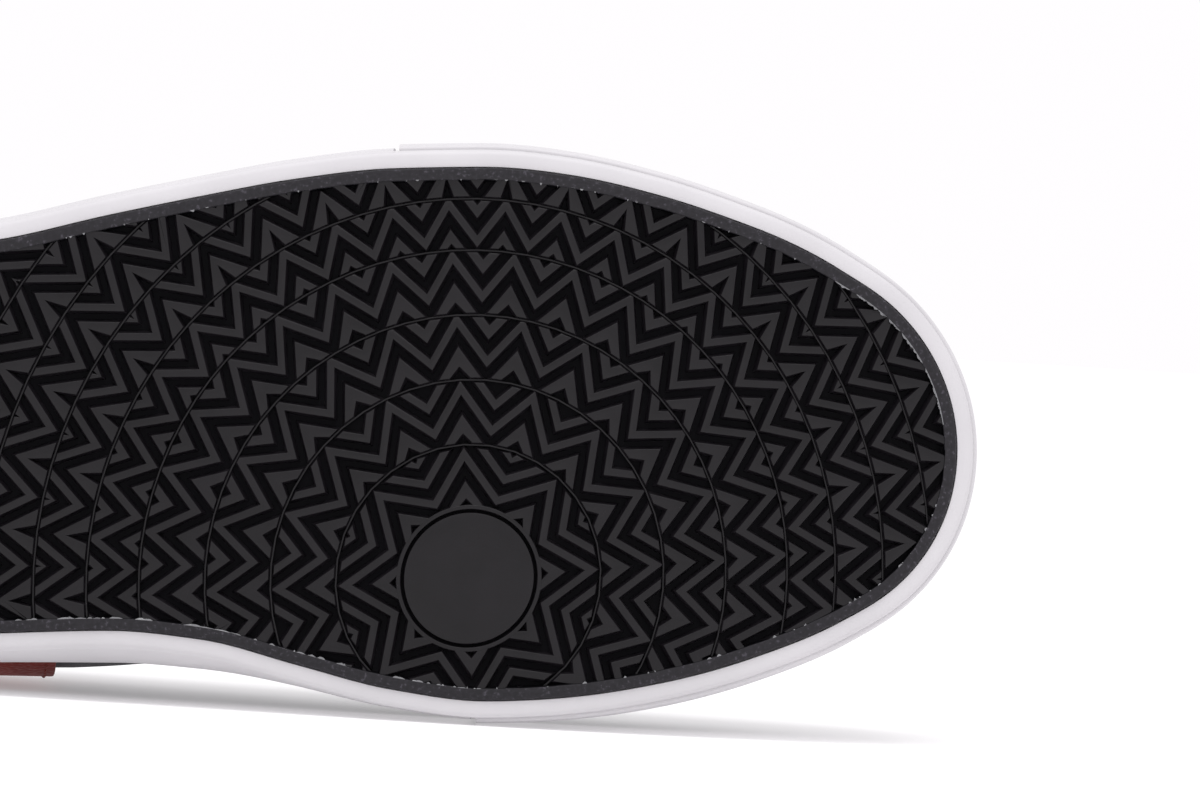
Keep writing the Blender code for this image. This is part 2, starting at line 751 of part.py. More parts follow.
def thick_sheet(name, columns, offsets, material_name):
    """A shell on the upper's own surface.

    columns is a list of strips, each a list of (side, along, levels). offsets gives the two set-outs at
    (along, level). Strips that share a line are welded there, and all open edges are closed.
    """
    bm = bmesh.new()
    sheets = ([], [])
    for strip in columns:
        grids = ([], [])
        for side, along, levels in strip:
            outer_row, inner_row = [], []
            for level in levels:
                outer, inner = offsets(along, level)
                outer_row.append(bm.verts.new(upper_point(side, along, level, outer)))
                inner_row.append(bm.verts.new(upper_point(side, along, level, inner)))
            grids[0].append(outer_row)
            grids[1].append(inner_row)
        for sheet, grid in zip(sheets, grids):
            sheet.append(grid)
    twins = {}
    for outer_grid, inner_grid in zip(*sheets):
        for outer_row, inner_row in zip(outer_grid, inner_grid):
            twins.update(zip(outer_row, inner_row))
    for grid in sheets[0]:
        for a, b in zip(grid, grid[1:]):
            bridge(bm, a, b, closed=False)
    weld = bmesh.ops.find_doubles(bm, verts=list(twins), dist=1e-6)["targetmap"]
    for gone, kept in weld.items():
        twins.pop(gone, None)
    bmesh.ops.weld_verts(bm, targetmap=weld)
    outer_faces = list(bm.faces)
    boundary = [e for e in bm.edges if len(e.link_faces) == 1]
    for face in outer_faces:
        bm.faces.new([twins[v] for v in reversed(face.verts)])
    for edge in boundary:
        a, b = edge.verts
        bm.faces.new((a, b, twins[b], twins[a]))
    loose = [v for v in bm.verts if not v.link_faces]
    bmesh.ops.delete(bm, geom=loose, context="VERTS")
    return add_object(name, bm, material_name)


def upper_stations():
    """Sections of the upper, with one exactly at the throat's end and one at its top."""
    fixed = (THROAT_TOP, THROAT_END)
    kept = [s for s in stations() if all(abs(s - f) > 0.5 / HALF_STATIONS for f in fixed)]
    return sorted(kept + list(fixed))


def both_sides(shares, levels):
    """Two strips, lateral and medial, that meet at the heel, the toe and the ridge."""
    return [[(side, s, levels) for s in shares] for side in SIGN]


def make_upper():
    shell = thick_sheet("upper", both_sides(upper_stations(), UPPER_LEVELS), wall_offsets, "suede")
    cut_eyelet_holes(shell)
    return shell


def overlay_offsets(along, level):
    return GAP + OVERLAY, GAP


STAY_LOW = 0.80  # the level of its lower edge
STAY_PAST = 0.040  # how far it runs past the throat's end, as a share of the upper
STAY_TURN = 76  # how far round its toe end turns before it is cut straight, in degrees


def eyestay_low(share):
    """Level of the eyestay's lower edge: even along the throat, rounded past its end."""
    past = max(0.0, share - THROAT_END) / STAY_PAST * math.sin(math.radians(STAY_TURN))
    return 1 - (1 - STAY_LOW) * math.sqrt(1 - past * past)


def make_eyestay():
    """A U round the throat, on both sides and across its end."""
    shares = [s for s in upper_stations() if THROAT_TOP < s < THROAT_END]
    shares = [THROAT_TOP + 0.006] + shares + [THROAT_END + STAY_PAST * t for t in (0, 0.5, 0.85, 1)]
    strips = []
    for side in SIGN:
        strip = []
        for s in shares:
            high = 1.0 if s >= THROAT_END else 0.985
            low = eyestay_low(s)
            strip.append((side, s, [low + (high - low) * k / 3 for k in range(4)]))
        strips.append(strip)
    eyestay = thick_sheet("eyestay", strips, overlay_offsets, "suede")
    cut_eyelet_holes(eyestay)
    return eyestay


BAND_FROM = 0.352
BAND_TO = 0.418
BAND_LEAN = 0.030
BAND_GAP = 0.0005  # the bands lean across the upper's sections, so they stand off a little more


def make_side_band(side):
    """A plain band from the foxing up to the eyestay, leaning forward at its foot."""
    levels = [0.03 + (0.765 - 0.03) * k / 7 for k in range(8)]
    rows = []
    for k in range(5):
        rows.append([BAND_FROM + (BAND_TO - BAND_FROM) * k / 4] * len(levels))
    bm_name = "side_band_" + side
    return leaning_sheet(bm_name, side, rows, levels, "red_leather")


def leaning_sheet(name, side, rows, levels, material_name):
    """A shell whose sections lean: each level is moved a little along the shoe."""
    bm = bmesh.new()
    outer, inner = [], []
    for row in rows:
        shares = [s - BAND_LEAN * (level - 0.4) for s, level in zip(row, levels)]
        spots = list(zip(shares, levels))
        outer.append([bm.verts.new(upper_point(side, s, v, BAND_GAP + OVERLAY)) for s, v in spots])
        inner.append([bm.verts.new(upper_point(side, s, v, BAND_GAP)) for s, v in spots])
    for a, b in zip(outer, outer[1:]):
        bridge(bm, a, b, closed=False)
    for a, b in zip(inner, inner[1:]):
        bridge(bm, a, b, closed=False)
    outer_rim = rim_of(outer)
    inner_rim = rim_of(inner)
    bridge(bm, outer_rim, inner_rim)
    return add_object(name, bm, material_name)


def rim_of(grid):
    """The way round the edge of a grid of vertices."""
    rim = list(grid[0])
    rim += [row[-1] for row in grid[1:]]
    rim += list(reversed(grid[-1]))[1:]
    rim += [row[0] for row in reversed(grid[1:-1])]
    return rim


COUNTER_TO = 0.150


def make_heel_counter():
    """An overlay round the back of the heel, higher at the back."""
    shares = [s for s in upper_stations() if s < COUNTER_TO - 0.006] + [COUNTER_TO]
    strips = []
    for side in SIGN:
        strip = []
        for s in shares:
            high = 0.86 - 0.40 * (s / COUNTER_TO) ** 2
            strip.append((side, s, [0.03 + (high - 0.03) * k / 5 for k in range(6)]))
        strips.append(strip)
    return thick_sheet("heel_counter", strips, overlay_offsets, "suede")


# Insole and tongue


def make_insole():
    """A drop-in footbed that fills the foot of the upper."""
    shares = stations()
    rows = []
    for lift, soft in ((0.0, 0.0), (1.0, 0.0), (1.0, 0.0015)):
        row = []
        for side, s in loop_of(shares, shares):
            x = edge_at(side, s)[0].x
            base = base_height(x) + GAP
            high = wall_top(x)
            height = base + INSOLE_THICK * lift - (0.0009 if lift and not soft else 0)
            rise = (height - base) / (high - base)
            outward = upper_foot(side, s, rise) - WALL - 2.5 * GAP - soft
            row.append(edge_point(side, s, outward, height))
        rows.append(row)
    return ring_stack("insole", rows, "insole_foam", capped=True)


def tongue_section(along):
    """The tongue's upper face across the throat: under the lateral eyestay, over, under the medial one."""
    under_vamp = min(max((along - THROAT_END) / 0.02 + 2, 0.0), 2.0)
    depth = -(WALL + 3 * GAP + TONGUE_DIPS * under_vamp)
    edge = 0.985 if along < THROAT_END - 0.03 else 0.94
    levels = (UPPER_LEVELS[-3], UPPER_LEVELS[-2], edge)
    left = [upper_point("lateral", along, v, depth) for v in levels]
    right = [upper_point("medial", along, v, depth) for v in levels]
    middle = []
    crown = TONGUE_CROWN * min(1.0, (left[-1] - right[-1]).length / (COLLAR_WIDTH * 0.4))
    for k in (1, 2, 3):
        t = k / 4
        p = left[-1].lerp(right[-1], t)
        middle.append(p + Vector((0, 0, crown * math.sin(math.pi * t))))
    return left + middle + list(reversed(right))


def section_inwards(section, direction):
    """The lower face of a tongue section, set in by its thickness across the run of the tongue."""
    lowered = []
    for i, p in enumerate(section):
        a = section[max(i - 1, 0)]
        b = section[min(i + 1, len(section) - 1)]
        across = (b - a).normalized()
        normal = across.cross(direction).normalized()
        if normal.z > 0:
            normal = -normal
        thin = 0.45 if i in (0, len(section) - 1) else 1.0
        lowered.append(p + normal * TONGUE_THICK * thin)
    return lowered


def make_tongue():
    inside = [THROAT_END + 0.02] + [s for s in reversed(upper_stations()) if THROAT_TOP <= s <= THROAT_END]
    sections = [tongue_section(s) for s in inside]
    run = (sections[-1][4] - sections[-3][4]).normalized()
    top = sections[-1]
    for k in (1, 2, 3):
        share = k / 3
        moved = [p + run * (TONGUE_RISE * share) for p in top]
        lift = Vector((TONGUE_RISE * 0.16 * share * share, 0, 0))
        centre = moved[4]
        narrow = 1.0 - TONGUE_NARROWS * math.sqrt(share)
        sections.append([centre + (p - centre) * narrow + lift for p in moved])
    bm = bmesh.new()
    rows = []
    for i, section in enumerate(sections):
        a = sections[max(i - 1, 0)][4]
        b = sections[min(i + 1, len(sections) - 1)][4]
        below = section_inwards(section, (b - a).normalized())
        rows.append([bm.verts.new(p) for p in section + list(reversed(below))])
    for a, b in zip(rows, rows[1:]):
        bridge(bm, a, b)
    half = len(rows[0]) // 2
    for row, flip in ((rows[0], False), (rows[-1], True)):
        for i in range(half - 1):
            quad = (row[i], row[i + 1], row[-i - 2], row[-i - 1])
            bm.faces.new(quad if flip else tuple(reversed(quad)))
    return add_object("tongue", bm, "lining")


# Eyelets and lace


def eyelet_share(index):
    first, last = THROAT_TOP + 0.020, THROAT_END - 0.032
    return first + (last - first) * index / (EYELETS - 1)


def eyelet_frame(side, index, outward):
    """Place and direction of an eyelet: on the eyestay, square to its surface."""
    s = eyelet_share(index)
    normal = upper_normal(side, s, EYELET_LEVEL)
    place = upper_surface(side, s, EYELET_LEVEL) + normal * outward
    turn = normal.to_track_quat("Z", "Y").to_matrix().to_4x4()
    return Matrix.Translation(place) @ turn


def turned(bm, profile, frame, sides):
    """A ring turned round its frame's Z from a closed profile of (radius, height)."""
    rows = []
    for i in range(sides):
        a = 2 * math.pi * i / sides
        rows.append([bm.verts.new(frame @ Vector((r * math.cos(a), r * math.sin(a), z))) for r, z in profile])
    for i in range(sides):
        bridge(bm, rows[i], rows[(i + 1) % sides])


def cut_eyelet_holes(target):
    """Punches the eyelet holes through a shell."""
    bm = bmesh.new()
    for side in SIGN:
        for index in range(EYELETS):
            frame = eyelet_frame(side, index, 0)
            reach = 0.006
            tube = bmesh.ops.create_cone(
                bm,
                cap_ends=True,
                segments=8,
                radius1=EYELET_BARREL + GAP,
                radius2=EYELET_BARREL + GAP,
                depth=2 * reach,
                matrix=frame,
            )
            del tube
    cutter = add_object(target.name + "_holes", bm, "suede")
    cutter.hide_render = True
    cutter.display_type = "WIRE"
    cut = target.modifiers.new("eyelet_holes", "BOOLEAN")
    cut.operation = "DIFFERENCE"
    cut.solver = "EXACT"
    cut.object = cutter


def make_eyelet(side, index):
    """A pressed eyelet: a flange on the eyestay and a barrel through it and the upper."""
    bm = bmesh.new()
    frame = eyelet_frame(side, index, GAP + OVERLAY + GAP)
    length = OVERLAY + GAP + WALL
    profile = (
        (EYELET_HOLE, EYELET_THICK),
        (EYELET_HOLE, -length),
        (EYELET_BARREL, -length),
        (EYELET_BARREL, 0.0),
        (EYELET_RADIUS, 0.0),
    )
    turned(bm, profile, frame, 8)
    return add_object(f"eyelet_{side}_{index + 1}", bm, "eyelet_metal")


def add_lace_bar(bm, first, last, raised):
    """A flat bar of lace from one eyelet over the tongue to another, as (side, index) pairs."""
    height = GAP + OVERLAY + GAP + EYELET_THICK + LACE_CLEAR + LACE_THICK / 2 + raised
    ends = [eyelet_frame(side, index, height) for side, index in (first, last)]
    start, finish = (f.to_translation() for f in ends)
    reach = (finish - start).normalized() * EYELET_HOLE / 2
    start, finish = start - reach, finish + reach
    ups = [f.to_3x3() @ Vector((0, 0, 1)) for f in ends]
    middle = (eyelet_share(first[1]) + eyelet_share(last[1])) / 2
    peak = max(p.z for p in tongue_section(middle)) + LACE_THICK / 2 + 4 * GAP + raised
    crest = max(0.0, peak - (start.z + finish.z) / 2)
    rows = []
    steps = 4
    for k in range(steps + 1):
        t = k / steps
        p = start.lerp(finish, t) + Vector((0, 0, crest * math.sin(math.pi * t) ** 0.8))
        up = ups[0].lerp(ups[1], t)
        along = (finish - start).normalized()
        across = along.cross(up).normalized() * (LACE_WIDTH / 2)
        up = across.cross(along).normalized() * (LACE_THICK / 2)
        rows.append([bm.verts.new(p + q) for q in (-across - up, across - up, across + up, up - across)])
    for a, b in zip(rows, rows[1:]):
        bridge(bm, a, b)
    bm.faces.new(rows[0])
    bm.faces.new(reversed(rows[-1]))


def make_lace():
    """Bars that cross over the tongue, joined where they meet. Its ends stop at the top eyelets."""
    bm = bmesh.new()
    for index in range(EYELETS - 1):
        add_lace_bar(bm, ("medial", index), ("lateral", index + 1), LACE_THICK * 0.3)
    crossings = add_object("lace_crossings", bm, "lace_cord")
    crossings.hide_render = True
    crossings.display_type = "WIRE"
    bm = bmesh.new()
    for index in range(EYELETS - 1):
        add_lace_bar(bm, ("lateral", index), ("medial", index + 1), 0.0)
    add_lace_bar(bm, ("lateral", EYELETS - 1), ("medial", EYELETS - 1), LACE_THICK * 0.15)
    lace = add_object("lace", bm, "lace_cord")
    join = lace.modifiers.new("crossings", "BOOLEAN")
    join.operation = "UNION"
    join.solver = "EXACT"
    join.use_self = True
    join.object = crossings
    return lace


# Laying the shoe on its side


def world_points(made):
    """The corners of all the pieces in the shoe's standing frame."""
    return [v.co.copy() for piece in made for v in piece.data.vertices]


def mass_centre(made):
    """Centre of the solids' volume."""
    total, moment = 0.0, Vector((0, 0, 0))
    for piece in made:
        bm = bmesh.new()
        bm.from_mesh(piece.data)
        bmesh.ops.triangulate(bm, faces=bm.faces)
        for face in bm.faces:
            a, b, c = (v.co for v in face.verts)
            volume = a.dot(b.cross(c)) / 6
            total += volume
            moment += (a + b + c) / 4 * volume
        bm.free()
    return moment / total


def resting_face(points, centre):
    """The face of the shoe's hull that it comes to rest on when it lies on its inner side."""
    bm = bmesh.new()
    for p in points:
        bm.verts.new(p)
    hull = bmesh.ops.convex_hull(bm, input=bm.verts, use_existing_faces=False)
    best, found = -1.0, None
    for face in (g for g in hull["geom"] if isinstance(g, bmesh.types.BMFace)):
        corners = [v.co.copy() for v in face.verts]
        normal = (corners[1] - corners[0]).cross(corners[2] - corners[0]).normalized()
        if normal.dot(corners[0] - centre) < 0:
            normal = -normal
        foot = centre + normal * normal.dot(corners[0] - centre)
        turns = []
        for i, a in enumerate(corners):
            b = corners[(i + 1) % len(corners)]
            turns.append((b - a).cross(foot - a).dot(normal))
        inside = all(t > -1e-12 for t in turns) or all(t < 1e-12 for t in turns)
        if inside and normal.y > best:
            best, found = normal.y, normal
    bm.free()
    return found


def lay_down(made):
    """Turns all the pieces so that the shoe lies on its inner side, and centres it over the origin."""
    points = world_points(made)
    down = resting_face(points, mass_centre(made))
    z_axis = -down
    x_axis = (Vector((1, 0, 0)) - z_axis * z_axis.x).normalized()
    y_axis = z_axis.cross(x_axis)
    turn = Matrix((x_axis, y_axis, z_axis))
    turned_points = [turn @ p for p in points]
    low = Vector(min(p[k] for p in turned_points) for k in range(3))
    high = Vector(max(p[k] for p in turned_points) for k in range(3))
    place = Matrix.Translation((-(low.x + high.x) / 2, -(low.y + high.y) / 2, -low.z)) @ turn.to_4x4()
    for piece in bpy.data.objects:
        if piece.type == "MESH":
            piece.data.transform(place)
    return place


def clear_scene():
    for found in list(bpy.data.objects):
        bpy.data.objects.remove(found, do_unlink=True)


def main():
    clear_scene()
    made = [
        make_outsole(),
        make_foxing(),
        make_toe_bumper(),
        make_upper(),
        make_eyestay(),
        make_side_band("lateral"),
        make_side_band("medial"),
        make_heel_counter(),
        make_insole(),
        make_tongue(),
    ]
    for side in SIGN:
        for index in range(EYELETS):
            made.append(make_eyelet(side, index))
    made.append(make_lace())
    place = lay_down(made)
    for row in place:
        print("frame", [round(v, 6) for v in row])


main()
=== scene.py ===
"""The finish of a low skateboarding shoe for the right foot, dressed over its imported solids.

The shoe lies on its inner side with its sole facing the camera. It is shaped here standing, in the frame of
its own source (x from heel to toe, y to the inner side, z up from the flat of the sole), and each finished
piece is laid down into the place of the solid that it stands for.
"""
import cmath
import functools
import json
import math
import random

import bmesh
import bpy
from mathutils import Matrix, Vector, kdtree, noise


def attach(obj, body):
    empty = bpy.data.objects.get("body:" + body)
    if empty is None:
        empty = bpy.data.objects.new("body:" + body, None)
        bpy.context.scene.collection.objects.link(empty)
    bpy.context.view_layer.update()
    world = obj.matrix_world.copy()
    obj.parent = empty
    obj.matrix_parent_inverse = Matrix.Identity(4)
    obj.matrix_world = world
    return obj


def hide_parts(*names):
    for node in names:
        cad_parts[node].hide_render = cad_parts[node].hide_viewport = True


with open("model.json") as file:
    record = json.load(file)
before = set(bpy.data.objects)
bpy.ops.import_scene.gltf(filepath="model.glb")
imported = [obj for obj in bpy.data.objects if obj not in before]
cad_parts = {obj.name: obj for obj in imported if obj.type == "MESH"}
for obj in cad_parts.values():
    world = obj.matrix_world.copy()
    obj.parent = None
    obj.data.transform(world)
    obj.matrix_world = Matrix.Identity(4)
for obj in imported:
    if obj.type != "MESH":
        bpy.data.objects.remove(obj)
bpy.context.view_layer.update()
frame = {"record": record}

# Sizes of the shoe, in metres, as its source has them, apart from the rim's width, which follows the photo
SOLE_LENGTH = 0.2925
BALL_WIDTH = 0.0992
TOE_ROUND = 0.080
HEEL_ROUND = 0.038
TOE_SPRING = 0.0165
ROCKER_START = 0.186
HEEL_LIFT = 0.0025
HEEL_LIFT_LENGTH = 0.032
GAP = 0.0003

OUTSOLE_THICK = 0.0120
RIM_WIDTH = 0.0023
RIM_BEVEL = 0.0006
TREAD_DEPTH = 0.0017
FIELD_DRAFT = 0.0004
LUG_SINK = 0.00015

PIVOT_FROM_HEEL = 0.2015
PIVOT_TO_MEDIAL = 0.0241
PIVOT_RADIUS = 0.01215
FIRST_RING = 0.01275
NEAR_PITCH = 0.0120
FAR_PITCH = 0.00955
NEAR_RINGS = 4
FULL_RING = 5
LAST_RING = 23
STAR_POINTS = 8
STAR_TURN = 3.0

FOXING_BASE = 0.0028
FOXING_TOP = 0.0022
FOXING_LIFT = 0.0007
FOXING_HEIGHT = 0.0300
WALL_FLARE = 0.0031
WALL_BACK = 0.0009
FOXING_BEVEL = 0.0008
BUMPER_THICK = 0.0014
BUMPER_PROUD = 0.0007
BUMPER_FROM = {"lateral": 0.622, "medial": 0.668}
BUMPER_MARGIN = 0.0022
STEP_SHARE = 0.0012
STEP_ROOM = 2.2 * STEP_SHARE
FOXING_STATIONS = 150

INSTEP_HEIGHT = 0.0880
COLLAR_WIDTH = 0.0720
WALL = 0.0022
COLLAR_PAD = 0.0068
BULGE = 0.0100
OVERLAY = 0.0011
INSOLE_THICK = 0.0075
FOOTBED_DISH = 0.0014
TONGUE_THICK = 0.0048
TONGUE_RISE = 0.0240
TONGUE_CROWN = 0.0042
TONGUE_NARROWS = 0.42
TONGUE_DIPS = 0.0008
TONGUE_FINE = 10
THROAT_END = 0.645
THROAT_TOP = 0.385

EYELETS = 6
EYELET_RADIUS = 0.0034
EYELET_HOLE = 0.0019
EYELET_THICK = 0.0007
EYELET_BARREL = 0.0025
EYELET_LEVEL = 0.905
EYELET_AROUND = 40
LACE_WIDTH = 0.0062
LACE_THICK = 0.0012
LACE_MIDDLE = 5  # the row of a crossing that lies over the tongue
LACE_STEPS = 6
LACE_AROUND = 12

STAY_LOW = 0.80
STAY_PAST = 0.040
STAY_TURN = 76
BAND_FROM = 0.352
BAND_TO = 0.418
BAND_LEAN = 0.030
BAND_GAP = 0.0005
BAND_FOOT = 0.03
BAND_HEAD = 0.765
BAND_LEAN_LEVEL = 0.4
COUNTER_TO = 0.150
COUNTER_FOOT = 0.03
COUNTER_HIGH = 0.86
COUNTER_FALL = 0.40

DENSE = 400
SEAM = 2e-6  # corners nearer than this are merged
PANEL_SEAM = 4e-6
LOOSE_SEAM = 1e-7  # for small forms that must stay apart
SIGN = {"lateral": -1, "medial": 1}

# How the shoe lies: on its inner side, its toe up by one angle and its sole leaning back by the other
TOE_UP = 3.5055
LEAN_BACK = 1.9510

SOLE_COLUMNS = ("along", "lateral", "medial", "lateral_flare", "medial_flare", "base", "wall")
SOLE_SECTIONS = (
    (0.000, 0.368, 0.368, 0.50, 0.50, 1.00, 1.00),
    (0.120, 0.363, 0.363, 0.50, 0.50, 1.00, 0.99),
    (0.220, 0.359, 0.359, 0.50, 0.60, 1.00, 0.96),
    (0.320, 0.365, 0.350, 0.50, 0.72, 0.92, 0.90),
    (0.390, 0.390, 0.344, 0.50, 0.82, 0.84, 0.86),
    (0.460, 0.436, 0.339, 0.48, 1.00, 0.76, 0.83),
    (0.520, 0.472, 0.356, 0.45, 0.86, 0.69, 0.81),
    (0.580, 0.504, 0.403, 0.44, 0.36, 0.62, 0.80),
    (0.640, 0.523, 0.449, 0.43, 0.20, 0.58, 0.79),
    (0.700, 0.526, 0.471, 0.42, 0.18, 0.55, 0.79),
    (0.753, 0.514, 0.466, 0.38, 0.20, 0.53, 0.80),
    (0.810, 0.498, 0.460, 0.34, 0.26, 0.52, 0.82),
    (0.868, 0.488, 0.458, 0.30, 0.26, 0.52, 0.85),
    (0.925, 0.490, 0.470, 0.24, 0.22, 0.52, 0.88),
    (0.963, 0.512, 0.500, 0.16, 0.16, 0.52, 0.90),
    (1.000, 0.534, 0.534, 0.12, 0.12, 0.52, 0.91),
)

UPPER_COLUMNS = ("along", "top_x", "top_y", "top_z", "shift", "lateral", "medial", "rise", "crown", "drop")
UPPER_SECTIONS = (
    (0.000, 0.024, 0.000, 0.910, 0.004, 0.50, 0.50, 0.36, 0.10, 0.34),
    (0.050, 0.032, 0.195, 0.900, 0.008, 0.50, 0.52, 0.36, 0.10, 0.34),
    (0.095, 0.058, 0.345, 0.865, 0.010, 0.46, 0.38, 0.36, 0.10, 0.34),
    (0.145, 0.104, 0.435, 0.790, 0.018, 0.38, 0.28, 0.38, 0.08, 0.30),
    (0.210, 0.176, 0.490, 0.725, 0.032, 0.38, 0.60, 0.40, 0.10, 0.26),
    (0.280, 0.252, 0.480, 0.755, 0.040, 0.42, 1.04, 0.42, 0.16, 0.24),
    (0.335, 0.314, 0.380, 0.875, 0.034, 0.46, 1.20, 0.44, 0.30, 0.20),
    (0.385, 0.366, 0.262, 0.985, 0.024, 0.46, 1.42, 0.46, 0.42, 0.14),
    (0.430, 0.416, 0.220, 0.950, 0.022, 0.42, 1.52, 0.50, 0.48, 0.10),
    (0.500, 0.486, 0.195, 0.862, 0.022, 0.34, 1.10, 0.54, 0.54, 0.07),
    (0.570, 0.558, 0.170, 0.790, 0.024, 0.26, 0.22, 0.58, 0.56, 0.05),
    (0.620, 0.614, 0.118, 0.742, 0.026, 0.22, 0.14, 0.60, 0.56, 0.03),
    (0.645, 0.638, 0.000, 0.724, 0.028, 0.20, 0.12, 0.62, 0.56, 0.00),
    (0.720, 0.708, 0.000, 0.692, 0.034, 0.16, 0.10, 0.66, 0.56, 0.00),
    (0.800, 0.768, 0.000, 0.662, 0.038, 0.12, 0.08, 0.70, 0.58, 0.00),
    (0.880, 0.824, 0.000, 0.628, 0.038, 0.10, 0.08, 0.74, 0.62, 0.00),
    (0.950, 0.868, 0.000, 0.592, 0.030, 0.10, 0.08, 0.76, 0.66, 0.00),
    (1.000, 0.892, 0.000, 0.568, 0.022, 0.10, 0.10, 0.78, 0.68, 0.00),
)


# The shape of the last, as the source has it. Only the upper's inner side under the arch is a little fuller
# here, so that it shows past the sole's edge as in the photo.


def read(rows, columns, name, at):
    """The value of one column at a share along the table, on a smooth curve through its rows."""
    k = columns.index(name)
    at = min(max(at, rows[0][0]), rows[-1][0])
    i = 0
    while i < len(rows) - 2 and rows[i + 1][0] < at:
        i += 1
    x0, x1 = rows[i][0], rows[i + 1][0]
    y0, y1 = rows[i][k], rows[i + 1][k]
    step = (y1 - y0) / (x1 - x0)
    before = (y0 - rows[i - 1][k]) / (x0 - rows[i - 1][0]) if i > 0 else step
    after = (rows[i + 2][k] - y1) / (rows[i + 2][0] - x1) if i + 2 < len(rows) else step
    m0 = 0.0 if before * step <= 0 else 2 * before * step / (before + step)
    m1 = 0.0 if after * step <= 0 else 2 * after * step / (after + step)
    if i == 0:
        m0 = step
    if i + 2 >= len(rows):
        m1 = step
    t = (at - x0) / (x1 - x0)
    h = x1 - x0
    a = (1 + 2 * t) * (1 - t) ** 2 * y0 + t * (1 - t) ** 2 * h * m0
    return a + t * t * (3 - 2 * t) * y1 + t * t * (t - 1) * h * m1


def sole(name, x):
    """A column of the sole's table at a distance from the heel."""
    return read(SOLE_SECTIONS, SOLE_COLUMNS, name, x / SOLE_LENGTH)


def upper(name, along):
    """A column of the upper's table at a share of the way from heel to toe."""
    return read(UPPER_SECTIONS, UPPER_COLUMNS, name, along)


def ground(x):
    """Height of the tread's plane: flat from heel to ball, lifting at the toe and the heel's back edge."""
    if x > ROCKER_START:
        return TOE_SPRING * ((x - ROCKER_START) / (SOLE_LENGTH - ROCKER_START)) ** 2
    if x < HEEL_LIFT_LENGTH:
        return HEEL_LIFT * ((HEEL_LIFT_LENGTH - x) / HEEL_LIFT_LENGTH) ** 2
    return 0.0


def ground_slope(x):
    """Rise of the tread's plane for each metre along the shoe."""
    if x > ROCKER_START:
        return 2 * TOE_SPRING * (x - ROCKER_START) / (SOLE_LENGTH - ROCKER_START) ** 2
    if x < HEEL_LIFT_LENGTH:
        return -2 * HEEL_LIFT * (HEEL_LIFT_LENGTH - x) / HEEL_LIFT_LENGTH**2
    return 0.0


def rounding(x):
    """Share of the full width that is left near the rounded ends."""
    if x > SOLE_LENGTH - TOE_ROUND:
        u = (x - SOLE_LENGTH + TOE_ROUND) / TOE_ROUND
        return math.sqrt(max(0.0, 1 - u * u))
    if x < HEEL_ROUND:
        u = 1 - x / HEEL_ROUND
        return max(0.0, 1 - u ** 2.3) ** (1 / 2.3)
    return 1.0


def half_width(side, x):
    """Distance of the outsole's edge from the centre line, on the named side."""
    return BALL_WIDTH * sole(side, x) * rounding(x)


def walk_edge(side):
    """Dense points of the outsole's edge from heel tip to toe tip, with the length walked so far."""
    points = []
    walked = 0.0
    for i in range(DENSE + 1):
        x = SOLE_LENGTH * (1 - math.cos(math.pi * i / DENSE)) / 2
        p = Vector((x, SIGN[side] * half_width(side, x), 0))
        if points:
            walked += (p - points[-1][1]).length
        points.append((walked, p))
    return points


EDGES = {side: walk_edge(side) for side in SIGN}


@functools.lru_cache(maxsize=None)
def edge_at(side, along):
    """Point of the outsole's edge at a share of the way from heel to toe, and its outward direction."""
    points = EDGES[side]
    target = along * points[-1][0]
    low, high = 0, len(points) - 1
    while high - low > 1:
        middle = (low + high) // 2
        if points[middle][0] <= target:
            low = middle
        else:
            high = middle
    span = points[high][0] - points[low][0]
    t = (target - points[low][0]) / span
    p = points[low][1].lerp(points[high][1], t)
    if along <= 0:
        return points[0][1].copy(), Vector((-1, 0, 0))
    if along >= 1:
        return points[-1][1].copy(), Vector((1, 0, 0))
    a = points[max(low - 3, 0)][1]
    b = points[min(high + 3, len(points) - 1)][1]
    run = (b - a).normalized()
    out = Vector((run.y, -run.x, 0)) if side == "lateral" else Vector((-run.y, run.x, 0))
    return p, out


def edge_point(side, along, outward, height):
    """A point set out from the outsole's edge, at a height above the tread's plane."""
    p, out = edge_at(side, along)
    q = p + out * outward
    return Vector((q.x, q.y, ground(q.x) + height))


def base_height(x):
    """Thickness of the outsole, from the tread's plane to the footbed."""
    return OUTSOLE_THICK * sole("base", x)


def wall_top(x):
    """Height of the foxing's top edge above the tread's plane."""
    return FOXING_HEIGHT * sole("wall", x)


@functools.lru_cache(maxsize=None)
def flare_at(side, along):
    """How far the foxing's wall leans out of its foot, in metres."""
    return WALL_FLARE * sole(side + "_flare", edge_at(side, along)[0].x)


def outer_wall(side, along, rise):
    """Set-out of the foxing's outer wall from the outsole's edge, at a share of its height."""
    lean = flare_at(side, along) * math.sin(min(rise / 0.5, 1.0) * math.pi / 2)
    back = WALL_BACK * max(0.0, rise / 0.5 - 1) ** 2
    return GAP + FOXING_BASE + lean - back


def upper_foot(side, along, rise):
    """Set-out of the upper's outer face behind the foxing, from its foot (0) to the foxing's top (1)."""
    top = outer_wall(side, along, 1) - FOXING_TOP - GAP
    return top * (0.35 + 0.65 * rise)


